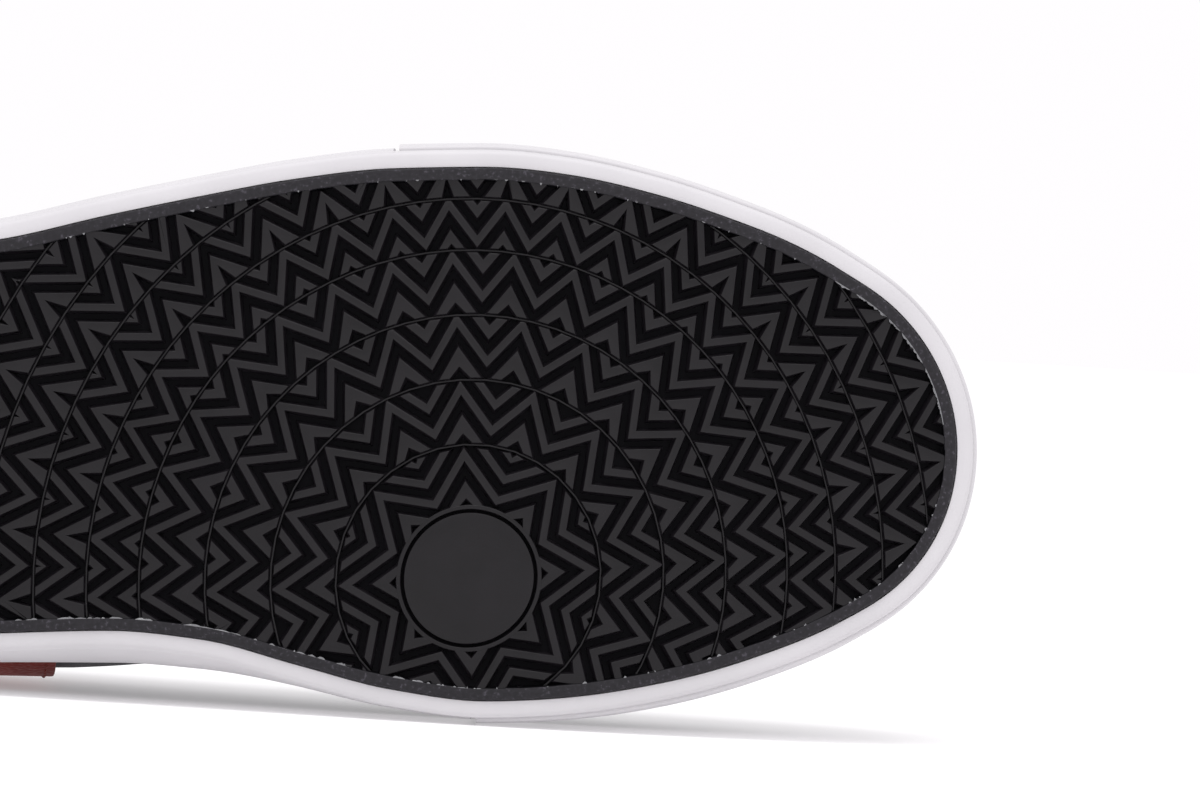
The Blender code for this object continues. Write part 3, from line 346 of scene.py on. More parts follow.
@functools.lru_cache(maxsize=None)
def upper_section(side, along):
    """What one section of the upper hangs on: its base, its foot and the three points that bend it."""
    p, out = edge_at(side, along)
    base = base_height(p.x) + GAP
    high = wall_top(p.x)
    foot = edge_point(side, along, upper_foot(side, along, 1), high)
    top_x = SOLE_LENGTH * upper("top_x", along)
    shift = BALL_WIDTH * upper("shift", along)
    top_y = shift + SIGN[side] * COLLAR_WIDTH * upper("top_y", along)
    top = Vector((top_x, top_y, ground(top_x) + INSTEP_HEIGHT * upper("top_z", along)))
    height = top.z - foot.z
    away = Vector((foot.x - top.x, foot.y - top.y, 0))
    first = foot + out * (BULGE * upper(side, along)) + Vector((0, 0, height * upper("rise", along)))
    last = top + away * upper("crown", along) - Vector((0, 0, height * upper("drop", along)))
    return base, high, foot, first, last, top


def upper_surface(side, along, level):
    """A point of the upper's outer face. Below level 0 it stands behind the foxing."""
    along = min(max(along, 0.0), 1.0)
    base, high, foot, first, last, top = upper_section(side, along)
    if level <= 0:
        rise = 1 + level
        return edge_point(side, along, upper_foot(side, along, rise), base + (high - base) * rise)
    t = level
    return foot * (1 - t) ** 3 + first * 3 * t * (1 - t) ** 2 + last * 3 * t * t * (1 - t) + top * t**3


def one_side_normal(side, along, level):
    """Outward direction of one side's face, from places just beside a spot."""
    step = 0.004
    a0, a1 = max(along - step, 0.0), min(along + step, 1.0)
    low, high = level - 0.02, level + 0.02
    if level >= 1:
        low, high = 0.97, 1.0
    if level <= -1:
        low, high = -1.0, -0.96
    if -0.02 < level < 0.02:
        low, high = level - 0.05, level + 0.02
    run = upper_surface(side, a1, level) - upper_surface(side, a0, level)
    climb = upper_surface(side, along, high) - upper_surface(side, along, low)
    normal = run.cross(climb) if side == "lateral" else climb.cross(run)
    return normal.normalized()


@functools.lru_cache(maxsize=None)
def upper_normal(side, along, level):
    """Outward direction of the upper's face. On a line that both sides share it is their average."""
    normal = one_side_normal(side, along, level)
    shared = along <= 0 or along >= 1 or (level >= 1 and along >= THROAT_END)
    if not shared:
        return normal
    other = one_side_normal("medial" if side == "lateral" else "lateral", along, level)
    return (normal + other).normalized()


def upper_point(side, along, level, outward):
    """A point set out from the upper's face, or in by a negative distance."""
    return upper_surface(side, along, level) + upper_normal(side, along, level) * outward


def pad_share(along, level):
    """How much of the collar's padding there is: full at the collar, none at the throat and below."""
    if level <= 0 or along >= THROAT_TOP:
        return 0.0
    fade = min((THROAT_TOP - along) / 0.07, 1.0)
    climb = max(0.0, (level - 0.45) / 0.55)
    return fade * math.sin(min(climb * 1.4, 1.0) * math.pi / 2)


def lying_place():
    """The turn and the move that lay the standing shoe down where its solids lie."""
    toe, lean = math.radians(TOE_UP), math.radians(LEAN_BACK)
    up = Vector((math.sin(toe), -math.cos(toe) * math.cos(lean), -math.cos(toe) * math.sin(lean)))
    along = (Vector((1, 0, 0)) - up * up.x).normalized()
    turn = Matrix((along, up.cross(along), up))
    disc = next(m for m in frame["record"]["mounts"] if m["name"] == "pivot_disc")
    standing = Vector((PIVOT_FROM_HEEL, PIVOT_TO_MEDIAL, ground(PIVOT_FROM_HEEL) + LUG_SINK))
    return Matrix.Translation(Vector(disc["pos_m"]) - turn @ standing) @ turn.to_4x4()


LYING = lying_place()


# Modelling helpers


def deselect_all():
    if bpy.context.object and bpy.context.object.mode != "OBJECT":
        bpy.ops.object.mode_set(mode="OBJECT")
    bpy.ops.object.select_all(action="DESELECT")


def choose(piece):
    """Makes a piece the only selected and the active one."""
    deselect_all()
    piece.select_set(True)
    bpy.context.view_layer.objects.active = piece


def sheet_of(name, rows):
    """A grid primitive with its corners moved to rows of places in the standing shoe."""
    deselect_all()
    bpy.ops.mesh.primitive_grid_add(x_subdivisions=len(rows[0]) - 1, y_subdivisions=len(rows) - 1, size=1)
    piece = bpy.context.object
    piece.name = name
    piece.data.name = name
    piece.data.vertices.foreach_set("co", [c for row in rows for p in row for c in p])
    piece.data.update()
    return piece


def joined(name, pieces):
    """Several meshes made one, under a name."""
    deselect_all()
    for piece in pieces:
        piece.select_set(True)
    bpy.context.view_layer.objects.active = pieces[0]
    if len(pieces) > 1:
        bpy.ops.object.join()
    pieces[0].name = name
    pieces[0].data.name = name
    return pieces[0]


def close_seams(piece, distance=SEAM, outward=True):
    """Merges the corners that meet and turns the faces outwards."""
    choose(piece)
    bpy.ops.object.mode_set(mode="EDIT")
    bpy.ops.mesh.select_all(action="SELECT")
    bpy.ops.mesh.remove_doubles(threshold=distance)
    bpy.ops.mesh.dissolve_degenerate(threshold=1e-7)
    if outward:
        bpy.ops.mesh.normals_make_consistent(inside=False)
    bpy.ops.object.mode_set(mode="OBJECT")
    return piece


def apply(piece, kind, **settings):
    """Adds a modifier with its settings and applies it."""
    choose(piece)
    modifier = piece.modifiers.new(kind.lower(), kind)
    for key, value in settings.items():
        setattr(modifier, key, value)
    bpy.ops.object.modifier_apply(modifier=modifier.name)
    return piece


def mesh_piece(name, corners, faces):
    """Many small forms in one mesh, from arrays."""
    mesh = bpy.data.meshes.new(name)
    mesh.from_pydata([tuple(p) for p in corners], [], faces)
    mesh.update()
    piece = bpy.data.objects.new(name, mesh)
    bpy.context.scene.collection.objects.link(piece)
    return piece


def wrap(faces, first, around, rings, walls=None):
    """Faces between rings of corners that lie one after the other. walls tells which sides get them."""
    for base in range(first, first + (rings - 1) * around, around):
        for i in range(around):
            if walls is None or walls[i]:
                j = (i + 1) % around
                faces.append((base + i, base + j, base + around + j, base + around + i))


def run_at(places, i):
    """Direction of a row of places at one of them."""
    return (places[min(i + 1, len(places) - 1)] - places[max(i - 1, 0)]).normalized()


def finish_piece(piece, material, replaced, smooth):
    """Lays a piece down, shades it and hands it to the frame. It keeps materials that it already has."""
    piece.data.transform(LYING)
    piece.data.update()
    choose(piece)
    bpy.ops.object.shade_smooth_by_angle(angle=math.radians(smooth))
    if not piece.data.materials:
        piece.data.materials.append(material)
    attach(piece, "root")
    if replaced:
        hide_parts(*replaced)


def finished_sheet(name, rows, material, replaced, smooth):
    """A closed form through rows of places, finished."""
    piece = sheet_of(name, rows)
    close_seams(piece)
    finish_piece(piece, material, replaced, smooth)


def loop_of(shares_lateral, shares_medial):
    """The way round the shoe: the lateral side from heel to toe, then the medial side back."""
    there = [("lateral", s) for s in shares_lateral]
    back = [("medial", s) for s in reversed(shares_medial) if 0 < s < 1]
    return there + back


def spread(count, crowding=0.40):
    """Shares from heel to toe, closer together at both ends."""
    shares = [i / count for i in range(count + 1)]
    return [t - crowding * math.sin(2 * math.pi * t) / (2 * math.pi) for t in shares]


def evenly(low, high, count):
    """Values from low to high in equal steps, both ends included."""
    return [low + (high - low) * i / count for i in range(count + 1)]


# Materials


def new_material(name, colour, roughness, metallic=0.0):
    made = bpy.data.materials.new(name)
    made.use_nodes = True
    shader = made.node_tree.nodes["Principled BSDF"]
    shader.inputs["Base Color"].default_value = (*colour, 1)
    shader.inputs["Roughness"].default_value = roughness
    shader.inputs["Metallic"].default_value = metallic
    made.diffuse_color = (*colour, 1)
    return made, made.node_tree, shader


def feed(tree, node, fed, **values):
    """Links a node's inputs to other outputs and sets its constant ones, with _ for a space in a name."""
    for name, source in fed.items():
        tree.links.new(source, node.inputs[name])
    for name, value in values.items():
        node.inputs[name.replace("_", " ")].default_value = value


def node_of(tree, kind, out, fed, **values):
    """A new shader node with its inputs set. Gives back one of its outputs."""
    node = tree.nodes.new("ShaderNode" + kind)
    feed(tree, node, fed, **values)
    return node.outputs[out]


def placed(tree, scale=(1, 1, 1), turn=(0, 0, 0), uv=None):
    """A pattern's place: the object's own coordinates, or a UV map, through a mapping."""
    if uv:
        source = tree.nodes.new("ShaderNodeUVMap")
        source.uv_map = uv
        out = source.outputs["UV"]
    else:
        out = node_of(tree, "TexCoord", "Object", {})
    return node_of(tree, "Mapping", "Vector", {"Vector": out}, Scale=scale, Rotation=turn)


def noise_of(tree, place, scale, detail=3.0, rough=0.5):
    return node_of(tree, "TexNoise", "Fac", {"Vector": place}, Scale=scale, Detail=detail, Roughness=rough)


def cells_of(tree, place, scale, feature="F1"):
    node = tree.nodes.new("ShaderNodeTexVoronoi")
    node.feature = feature
    feed(tree, node, {"Vector": place}, Scale=scale)
    return node.outputs["Distance"]


def ramp_of(tree, value, stops):
    node = tree.nodes.new("ShaderNodeValToRGB")
    elements = node.color_ramp.elements
    while len(elements) < len(stops):
        elements.new(0.5)
    for element, (at, colour) in zip(elements, stops):
        element.position = at
        element.color = (*colour, 1)
    feed(tree, node, {"Fac": value})
    return node.outputs["Color"]


def span_of(tree, value, low, high, to_low, to_high):
    limits = {"From_Min": low, "From_Max": high, "To_Min": to_low, "To_Max": to_high}
    return node_of(tree, "MapRange", "Result", {"Value": value}, **limits)


def bumps_of(tree, shader, *layers):
    """Bumps of (height, distance) laid one over the other."""
    fed = {}
    for height, distance in layers:
        normal = node_of(tree, "Bump", "Normal", {"Height": height, **fed}, Distance=distance, Strength=1.0)
        fed = {"Normal": normal}
    feed(tree, shader, fed)


def black_rubber(name, tone, rough, grain, shine, flecks=False):
    """Moulded black rubber: a fine matt skin with faint cloudiness, and light flecks where it was trimmed."""
    made, tree, shader = new_material(name, tone, rough)
    place = placed(tree)
    cloud = noise_of(tree, place, 160, 4)
    dark, light, bright = (tuple(c * share for c in tone) for share in (0.82, 1.22, 3.4))
    tones, pattern = [(0.35, dark), (0.7, light)], cloud
    if flecks:
        pattern = noise_of(tree, place, 1300, 3, 0.6)
        tones = [(0.40, dark), (0.60, light), (0.66, bright)]
    roughness = span_of(tree, cloud, 0.3, 0.7, rough - 0.05, rough + 0.07)
    fed = {"Base Color": ramp_of(tree, pattern, tones), "Roughness": roughness}
    feed(tree, shader, fed, Specular_IOR_Level=shine)
    fine, coarse = noise_of(tree, place, 2400, 2), noise_of(tree, place, 420, 3)
    bumps_of(tree, shader, (fine, grain), (coarse, grain * 2.0))
    return made


def white_rubber(name):
    """White foxing rubber: a little cloudy, with faint smudges."""
    made, tree, shader = new_material(name, (0.600, 0.585, 0.605), 0.5)
    place = placed(tree)
    cloud = noise_of(tree, place, 45, 4)
    tones = [(0.3, (0.570, 0.556, 0.576)), (0.65, (0.612, 0.597, 0.618))]
    fed = {"Base Color": ramp_of(tree, cloud, tones), "Roughness": span_of(tree, cloud, 0.3, 0.7, 0.44, 0.58)}
    feed(tree, shader, fed, Specular_IOR_Level=0.4)
    fine, coarse = noise_of(tree, place, 1500, 2), noise_of(tree, place, 90, 2)
    bumps_of(tree, shader, (fine, 0.00002), (coarse, 0.00012))
    return made


def suede(name, dark, light):
    """Suede: a nap of short brushed fibres in lighter and darker strokes."""
    made, tree, shader = new_material(name, dark, 0.95)
    stroke = noise_of(tree, placed(tree, scale=(1, 1.6, 0.6)), 70, 5, 0.62)
    fibre = noise_of(tree, placed(tree), 1900, 4, 0.7)
    fed = {"Base Color": ramp_of(tree, stroke, [(0.32, dark), (0.72, light)])}
    feed(tree, shader, fed, Specular_IOR_Level=0.15, Sheen_Weight=0.22, Sheen_Roughness=0.5)
    bumps_of(tree, shader, (fibre, 0.00022), (stroke, 0.0003))
    return made


def leather(name, dark, light, grain_size):
    """Smooth grained leather with pebbles and pores."""
    made, tree, shader = new_material(name, dark, 0.48)
    place = placed(tree)
    cloud = noise_of(tree, place, 120, 4)
    pebbles = cells_of(tree, place, 1 / grain_size, "SMOOTH_F1")
    colour = ramp_of(tree, cloud, [(0.35, dark), (0.7, light)])
    fed = {"Base Color": colour, "Roughness": span_of(tree, pebbles, 0.1, 0.7, 0.42, 0.58)}
    feed(tree, shader, fed, Coat_Weight=0.03, Coat_Roughness=0.35, Specular_IOR_Level=0.14)
    bumps_of(tree, shader, (pebbles, 0.00018), (noise_of(tree, place, 2600, 2), 0.00003))
    return made


def cloth(name, dark, light, pitch, rough=0.9, stops=(0.18, 0.55), height=0.00035, shine=0.2):
    """Cloth of small cells: a fine open knit, or the weave over a footbed's foam."""
    made, tree, shader = new_material(name, dark, rough)
    holes = cells_of(tree, placed(tree), 1 / pitch)
    fed = {"Base Color": ramp_of(tree, holes, list(zip(stops, (dark, light))))}
    feed(tree, shader, fed, Sheen_Weight=0.15, Specular_IOR_Level=shine)
    bumps_of(tree, shader, (holes, height))
    return made


def braid(name, dark, light):
    """Lace cord: a flat braid whose strands cross along its length."""
    made, tree, shader = new_material(name, dark, 0.85)
    both = tree.nodes.new("ShaderNodeMath")
    both.operation = "MAXIMUM"
    for k, lean in enumerate((0.7, -0.7)):
        wave = tree.nodes.new("ShaderNodeTexWave")
        wave.wave_type = "BANDS"
        wave.bands_direction = "X"
        feed(tree, wave, {"Vector": placed(tree, turn=(0, 0, lean), uv="lay")}, Scale=180)
        tree.links.new(wave.outputs["Fac"], both.inputs[k])
    strands = both.outputs["Value"]
    fed = {"Base Color": ramp_of(tree, strands, [(0.3, dark), (0.95, light)])}
    feed(tree, shader, fed, Sheen_Weight=0.2, Specular_IOR_Level=0.25)
    bumps_of(tree, shader, (strands, 0.00025))
    return made


def blackened_metal(name):
    """Eyelet metal: dark, worn lighter in fine scratches."""
    made, tree, shader = new_material(name, (0.03, 0.03, 0.032), 0.36, 0.85)
    worn = noise_of(tree, placed(tree), 900, 4)
    tones = [(0.45, (0.022, 0.022, 0.024)), (0.75, (0.075, 0.073, 0.075))]
    fed = {"Base Color": ramp_of(tree, worn, tones), "Roughness": span_of(tree, worn, 0.3, 0.7, 0.28, 0.46)}
    feed(tree, shader, fed)
    bumps_of(tree, shader, (worn, 0.00002))
    return made


RUBBER_RIM = black_rubber("rim_rubber", (0.0150, 0.0137, 0.0170), 0.50, 0.00003, 0.26, flecks=True)
# The same black rubber painted darker and with little shine: painted shade for the recessed floor and walls
# of the tread's field.
RUBBER_GROOVE_SHADE = black_rubber("groove_rubber_painted_shade", (0.0024, 0.0022, 0.0030), 0.60, 0.00003, 0.05)
RUBBER_RIBS = black_rubber("tread_rubber", (0.0058, 0.0048, 0.0063), 0.38, 0.00004, 0.27)
# Light grey, though the scraps are torn from the same black rubber: a painted highlight for their glint.
RUBBER_FLASH_GLINT = black_rubber("trim_scraps_painted_glint", (0.17, 0.17, 0.18), 0.25, 0.00005, 0.6)
WHITE = white_rubber("foxing_rubber")
SUEDE = suede("upper_suede", (0.0095, 0.0085, 0.0145), (0.022, 0.020, 0.031))
SUEDE_TRIM = suede("overlay_suede", (0.0085, 0.0078, 0.012), (0.019, 0.018, 0.027))
RED = leather("band_leather", (0.150, 0.0065, 0.0032), (0.205, 0.0105, 0.0052), 0.0009)
LINING = cloth("lining_cloth", (0.010, 0.010, 0.013), (0.045, 0.043, 0.050), 0.0011)
FOAM = cloth(
    "footbed_cloth", (0.022, 0.021, 0.026), (0.060, 0.058, 0.066), 1 / 1400, 0.92, (0.2, 0.6), 0.0002, 0.5
)
CORD = braid("lace_braid", (0.010, 0.010, 0.014), (0.040, 0.038, 0.046))
METAL = blackened_metal("eyelet_finish")
THREAD = cloth("stitch_thread", (0.012, 0.012, 0.016), (0.040, 0.038, 0.045), 0.0005)
THREAD_RED = cloth("band_thread", (0.10, 0.010, 0.006), (0.20, 0.022, 0.014), 0.0005)


# Outsole


RIM_RAGGED = 0.00007
OUTSOLE_RIM_ROWS = 8  # rows of its section from the top edge to the rim's inner corner


def ragged(side, along, seed, size):
    """A small unevenness of a trimmed edge."""
    spot = edge_at(side, along)[0] * 420 + Vector((seed * 7.3, 0, SIGN[side] * 3.1))
    return size * noise.noise(spot)


def outsole_section(side, along):
    """One half of the outsole's section: from its top edge down round the rim to the field's floor."""
    x = edge_at(side, along)[0].x
    outer = ragged(side, along, 1, RIM_RAGGED)
    inner = ragged(side, along, 2, 1.6 * RIM_RAGGED)
    bevel = RIM_BEVEL
    foot = RIM_WIDTH + FIELD_DRAFT
    rows = [
        (0.0, base_height(x)),
        (outer, bevel * 1.2),
        (-bevel * 0.12 + outer, bevel * 0.55),
        (-bevel * 0.5 + outer, bevel * 0.12),
        (-bevel * 1.2 + outer, 0.0),
        (-RIM_WIDTH * 0.5, 0.0),
        (-RIM_WIDTH + 0.00032 + inner, 0.0),
        (-RIM_WIDTH + 0.00010 + inner, 0.00006),
        (-RIM_WIDTH - 0.00005 + inner, 0.00028),
        (-foot + 0.0001, TREAD_DEPTH - 0.0002),
        (-foot - 0.0003, TREAD_DEPTH),
    ]
    return [edge_point(side, along, out, height) for out, height in rows]


def make_outsole_body():
    rows = []
    for along in spread(300):
        there = outsole_section("lateral", along)
        back = outsole_section("medial", along)
        floor = [there[-1].lerp(back[-1], t) for t in evenly(0.0, 1.0, 6)[1:-1]]
        rows.append(there + floor + back[::-1] + [there[0]])
    body = sheet_of("outsole_body", rows)
    body.data.materials.append(RUBBER_RIM)
    body.data.materials.append(RUBBER_GROOVE_SHADE)
    across = len(rows[0]) - 1
    # The field's recessed wall and floor take the darker rubber: painted shade in the recess.
    deep = range(OUTSOLE_RIM_ROWS, across - OUTSOLE_RIM_ROWS)
    for face in body.data.polygons:
        face.material_index = 1 if face.index % across in deep else 0
    close_seams(body)
    finish_piece(body, None, ["outsole"], 32)


# Tread: each half of a zigzag's tooth is a cell between two rays and two rings, and the ribs that lie in it
# are cut to the cell, so that each meets its mirror image on the rays


RIB_WIDTH = 0.00150
RIB_PITCH = 0.00335
RIB_DRAFT = 0.00046
RIB_ROUND = 0.00034
RING_LINE = 0.0007
BEAD_WIDTH = 0.00026
BEAD_SINK = 0.0008
ROOT_DEPTH = TREAD_DEPTH + 0.0001  # the feet of ribs and disc, just under the field's floor
LEAST_TIP = 0.0008  # a rib that would stand less than this inside its ring is left out
LEAST_RIB = 2.0e-7  # square metres
LEAST_BEAD = 1.0e-8
STRIP_REACH = 0.05  # longer than any cell of the pattern
FILL_REACH = 0.02
WELL_INSIDE, WELL_OUTSIDE = 0.016, -0.010  # a cell's middle this far from the rim needs no cutting
NEARLY_PARALLEL = 0.05
SETTLING = 6  # rounds that settle a place on the rolled sole

# A tooth's notch at its ring: how deep a gap between ribs may be and still be one, how wide it opens for its
# depth, and its depth as a share of that gap. The rings near the disc differ from the far ones.
VALLEY_NOTCH = {"near": 0.0023, "far": 0.0040}
PEAK_NOTCH = 0.0040
SMALLEST_NOTCH = 0.0008
NOTCH_OPENS = {"near": 0.90, "far": 0.30}
VALLEY_SHARE = {"near": 0.72, "far": 1.0}
PEAK_SHARE = {"near": 0.62, "far": 1.0}

# How far from the disc's middle each ring's zigzag has its peaks and its valleys, as (peak, valley)
ZIGZAGS = (
    (0.02295, 0.01511),
    (0.03527, 0.02746),
    (0.04781, 0.04014),
    (0.05956, 0.05209),
    (0.06945, 0.06234),
    (0.07865, 0.07045),
    (0.08848, 0.07913),
    (0.09776, 0.08800),
)
OUTER_PEAK = 0.0010  # past the table: how far the peaks stay inside their ring
OUTER_VALLEY = -0.0012


def ring_radius(ring):
    """Outer radius of a ring of the tread."""
    near = min(ring, NEAR_RINGS)
    return FIRST_RING + NEAR_PITCH * near + FAR_PITCH * (ring - near)


def periods(ring):
    """Teeth of a ring of the tread, all the way round."""
    return STAR_POINTS * min(ring, FULL_RING)


def unroll(x):
    """Length along the sole from the pivot disc, measured on the lifted toe."""
    rate = 2 * TOE_SPRING / (SOLE_LENGTH - ROCKER_START) ** 2

    def walked(d):
        if d <= 0:
            return d
        slope = rate * d
        return d / 2 * math.sqrt(1 + slope**2) + math.asinh(slope) / (2 * rate)

    return walked(x - ROCKER_START) - walked(PIVOT_FROM_HEEL - ROCKER_START)


def roll_up(u):
    """The place along the shoe of a point that lies u along the sole from the pivot disc."""
    x = PIVOT_FROM_HEEL + u
    for _ in range(SETTLING):
        x += u - unroll(x)
    return x


# The drift of the pattern, a sum of terms: (power along, power across, metres along, metres across)
DRIFT_UNIT = 0.1
DRIFT_START = -0.090  # behind this the drift stays as it is here
DRIFT = (
    (0, 0, 0.000103, 0.000055),
    (0, 1, 0.001818, 0.000424),
    (0, 2, -0.003220, -0.000242),
    (1, 0, -0.000322, 0.001112),
    (1, 1, -0.001955, -0.000672),
    (2, 0, -0.002066, 0.001645),
)


def drift(spot):
    """How far the moulded pattern has moved from its drawn place: little at the disc, more at the toe."""
    u = max(spot.real, DRIFT_START) / DRIFT_UNIT
    v = spot.imag / DRIFT_UNIT
    return sum(u**i * v**j * complex(along, across) for i, j, along, across in DRIFT)


def on_tread(flat, depth):
    """The place in the standing shoe of a spot of the flat tread pattern, sunk into the sole by a depth."""
    flat = flat + drift(flat)
    x = roll_up(flat.real)
    into = Vector((-ground_slope(x), 0, 1)).normalized()
    return Vector((x, PIVOT_TO_MEDIAL - flat.imag, ground(x))) + into * depth


def flat_of(place):
    """The spot of the flat tread pattern under a place in the standing shoe's plan."""
    laid = complex(unroll(place.x), PIVOT_TO_MEDIAL - place.y)
    spot = laid
    for _ in range(SETTLING):
        spot = laid - drift(spot)
    return spot


def rim_lines():
    """Spots along the middle of the rim in the flat pattern, each with its inward direction."""
    found = []
    for side in SIGN:
        for along in evenly(0.0, 1.0, 260):
            p, out = edge_at(side, along)
            spot = flat_of(p)
            inner = flat_of(p - out * RIM_WIDTH * 0.55)
            found.append((inner, (inner - spot) / abs(inner - spot)))
    return found


def tree_of(lines):
    """A search tree over spots of the flat pattern."""
    tree = kdtree.KDTree(len(lines))
    for index, (spot, _) in enumerate(lines):
        tree.insert((spot.real, spot.imag, 0), index)
    tree.balance()
    return tree


RIM_LINES = rim_lines()
RIM_TREE = tree_of(RIM_LINES)


def trim(shape, through, inward, free):
    """Cuts a convex shape along a line and keeps the side that inward points to.

    A shape is a list of (corner, whether the edge after it is free), going round anticlockwise.
    """
    kept = []
    count = len(shape)
    for i in range(count):
        a, a_free = shape[i]
        b = shape[(i + 1) % count][0]
        side_a = ((a - through) * inward.conjugate()).real
        side_b = ((b - through) * inward.conjugate()).real
        if side_a >= 0:
            kept.append((a, a_free))
            if side_b < 0:
                kept.append((a + (b - a) * side_a / (side_a - side_b), free))
        elif side_b >= 0:
            kept.append((a + (b - a) * side_a / (side_a - side_b), a_free))
    tidy = []
    for i, (corner, is_free) in enumerate(kept):
        following = kept[(i + 1) % len(kept)][0]
        if abs(following - corner) > SEAM:
            tidy.append((corner, is_free))
    return tidy if len(tidy) > 2 else []


def area_of(shape):
    total = 0.0
    for i, (a, _) in enumerate(shape):
        b = shape[(i + 1) % len(shape)][0]
        total += a.real * b.imag - b.real * a.imag
    return total / 2


def centre_of(shape):
    return sum(corner for corner, _ in shape) / len(shape)


def set_in(shape, amount):
    """The corners of a convex shape with its free edges moved in by an amount, or out by a negative one."""
    count = len(shape)
    lines = []
    for i, (a, free) in enumerate(shape):
        b = shape[(i + 1) % count][0]
        run = (b - a) / abs(b - a)
        lines.append((a + run * 1j * (amount if free else 0.0), run))
    corners = []
    for i in range(count):
        (p, r), (q, s) = lines[i - 1], lines[i]
        turn = r.real * s.imag - r.imag * s.real
        if abs(turn) < NEARLY_PARALLEL:
            corners.append(q)
            continue
        gap = q - p
        corners.append(p + r * (gap.real * s.imag - gap.imag * s.real) / turn)
    return corners


def raise_form(corners, faces, shape, rings):
    """A raised form of the tread through rings of (spots, depth), walled on the shape's free edges."""
    first, count = len(corners), len(shape)
    for spots, depth in rings:
        corners.extend(on_tread(spot, depth) for spot in spots)
    wrap(faces, first, count, len(rings), [free for _, free in shape])
    top = first + (len(rings) - 1) * count
    faces.append(tuple(range(top, top + count)))


def add_rib(corners, faces, shape):
    """A rib: sloped walls, a rounded shoulder and a flat top."""
    raise_form(corners, faces, shape, (
        (set_in(shape, -RIB_DRAFT), ROOT_DEPTH),
        (set_in(shape, -0.00002), LUG_SINK + RIB_ROUND * 0.9),
        (set_in(shape, RIB_ROUND * 0.28), LUG_SINK + RIB_ROUND * 0.30),
        (set_in(shape, RIB_ROUND * 0.75), LUG_SINK + RIB_ROUND * 0.05),
    ))


def in_the_field(shape):
    """A shape cut off inside the rim, or nothing where it lies outside."""
    centre = centre_of(shape)
    index = RIM_TREE.find((centre.real, centre.imag, 0))[1]
    spot, inward = RIM_LINES[index]
    inside = ((centre - spot) * inward.conjugate()).real
    if inside > WELL_INSIDE:
        return shape
    if inside < WELL_OUTSIDE:
        return []
    reached = {index}
    for corner, _ in shape:
        reached.add(RIM_TREE.find((corner.real, corner.imag, 0))[1])
    for k in reached:
        spot, inward = RIM_LINES[k]
        shape = trim(shape, spot, inward, True)
        if not shape:
            return []
    return shape


def half_tooth(ring, angle, turn):
    """The ribs of half a tooth, from the ray through its peak at an angle to the next valley's ray."""
    near, far = ring_radius(ring - 1), ring_radius(ring)
    zone = "near" if ring <= FULL_RING else "far"
    peak_ray = cmath.rect(1, angle)
    valley_ray = cmath.rect(1, angle + turn * math.pi / periods(ring))
    peak_at, valley_at = far - OUTER_PEAK, near + OUTER_VALLEY
    if ring <= len(ZIGZAGS):
        peak_at, valley_at = ZIGZAGS[ring - 1]
    peak, valley = peak_at * peak_ray, valley_at * valley_ray
    run = (valley - peak) / abs(valley - peak)
    outward = run * 1j * turn * -1
    if ((valley_ray * far - peak) * outward.conjugate()).real < 0:
        outward = -outward
    inner_line = near + (BORDER_WIDTH if ring == 1 else RING_LINE / 2)
    outer_line = far - RING_LINE / 2
    away = (peak_ray + valley_ray) / abs(peak_ray + valley_ray)
    from_peak = peak_ray * 1j * turn
    from_valley = -valley_ray * 1j * turn
    w = RIB_WIDTH / 2
    shapes = []

    def strip(low, high, notch=None):
        """A rib between two offsets from the zigzag, cut to the cell and notched."""
        low, high = sorted((low, high))
        places = ((-STRIP_REACH, low), (STRIP_REACH, low), (STRIP_REACH, high), (-STRIP_REACH, high))
        corners = [peak + run * reach + outward * offset for reach, offset in places]
        shape = [(c, True) for c in corners]
        if area_of(shape) < 0:
            shape = shape[::-1]
        for through, inward, free in (
            (0j, from_peak, False),
            (0j, from_valley, False),
            (inner_line * (peak_ray + valley_ray) / 2, away, True),
            (outer_line * (peak_ray + valley_ray) / 2, -away, True),
        ):
            shape = trim(shape, through, inward, free)
        if notch:
            corner, deep, aside = notch
            slant = aside - deep
            inward = slant * 1j / abs(slant)
            if ((corner - deep) * inward.conjugate()).real > 0:
                inward = -inward
            shape = trim(shape, deep, inward, True)
        if shape and area_of(shape) > LEAST_RIB:
            shapes.append(shape)

    def reach_on(ray, offset):
        """How far out a line at an offset from the zigzag crosses a ray."""
        gap = peak + outward * offset
        turned = ray.real * run.imag - ray.imag * run.real
        return (gap.real * run.imag - gap.imag * run.real) / turned

    def fan(ray, line, way, aside, largest, share):
        """Ribs beside the zigzag up to a ring's line, out (way 1) or in (way -1). The last one is notched."""
        middle = RIB_PITCH if zone == "near" else RIB_PITCH / 2
        while way * (line - reach_on(ray, way * (middle - w))) >= LEAST_TIP:
            void = way * (line - reach_on(ray, way * (middle + w)))
            if void < largest:
                depth = max(void * share, SMALLEST_NOTCH)
                corner = line * ray
                cut = (corner, corner - way * depth * ray, corner + aside * depth * NOTCH_OPENS[zone])
                strip(way * (middle - w), way * (middle + FILL_REACH), cut)
                return
            strip(way * (middle - w), way * (middle + w))
            middle += RIB_PITCH

    if zone == "near":
        strip(-w, w)
    fan(valley_ray, outer_line, 1, from_valley, VALLEY_NOTCH[zone], VALLEY_SHARE[zone])
    fan(peak_ray, inner_line, -1, from_peak, PEAK_NOTCH, PEAK_SHARE[zone])
    return shapes


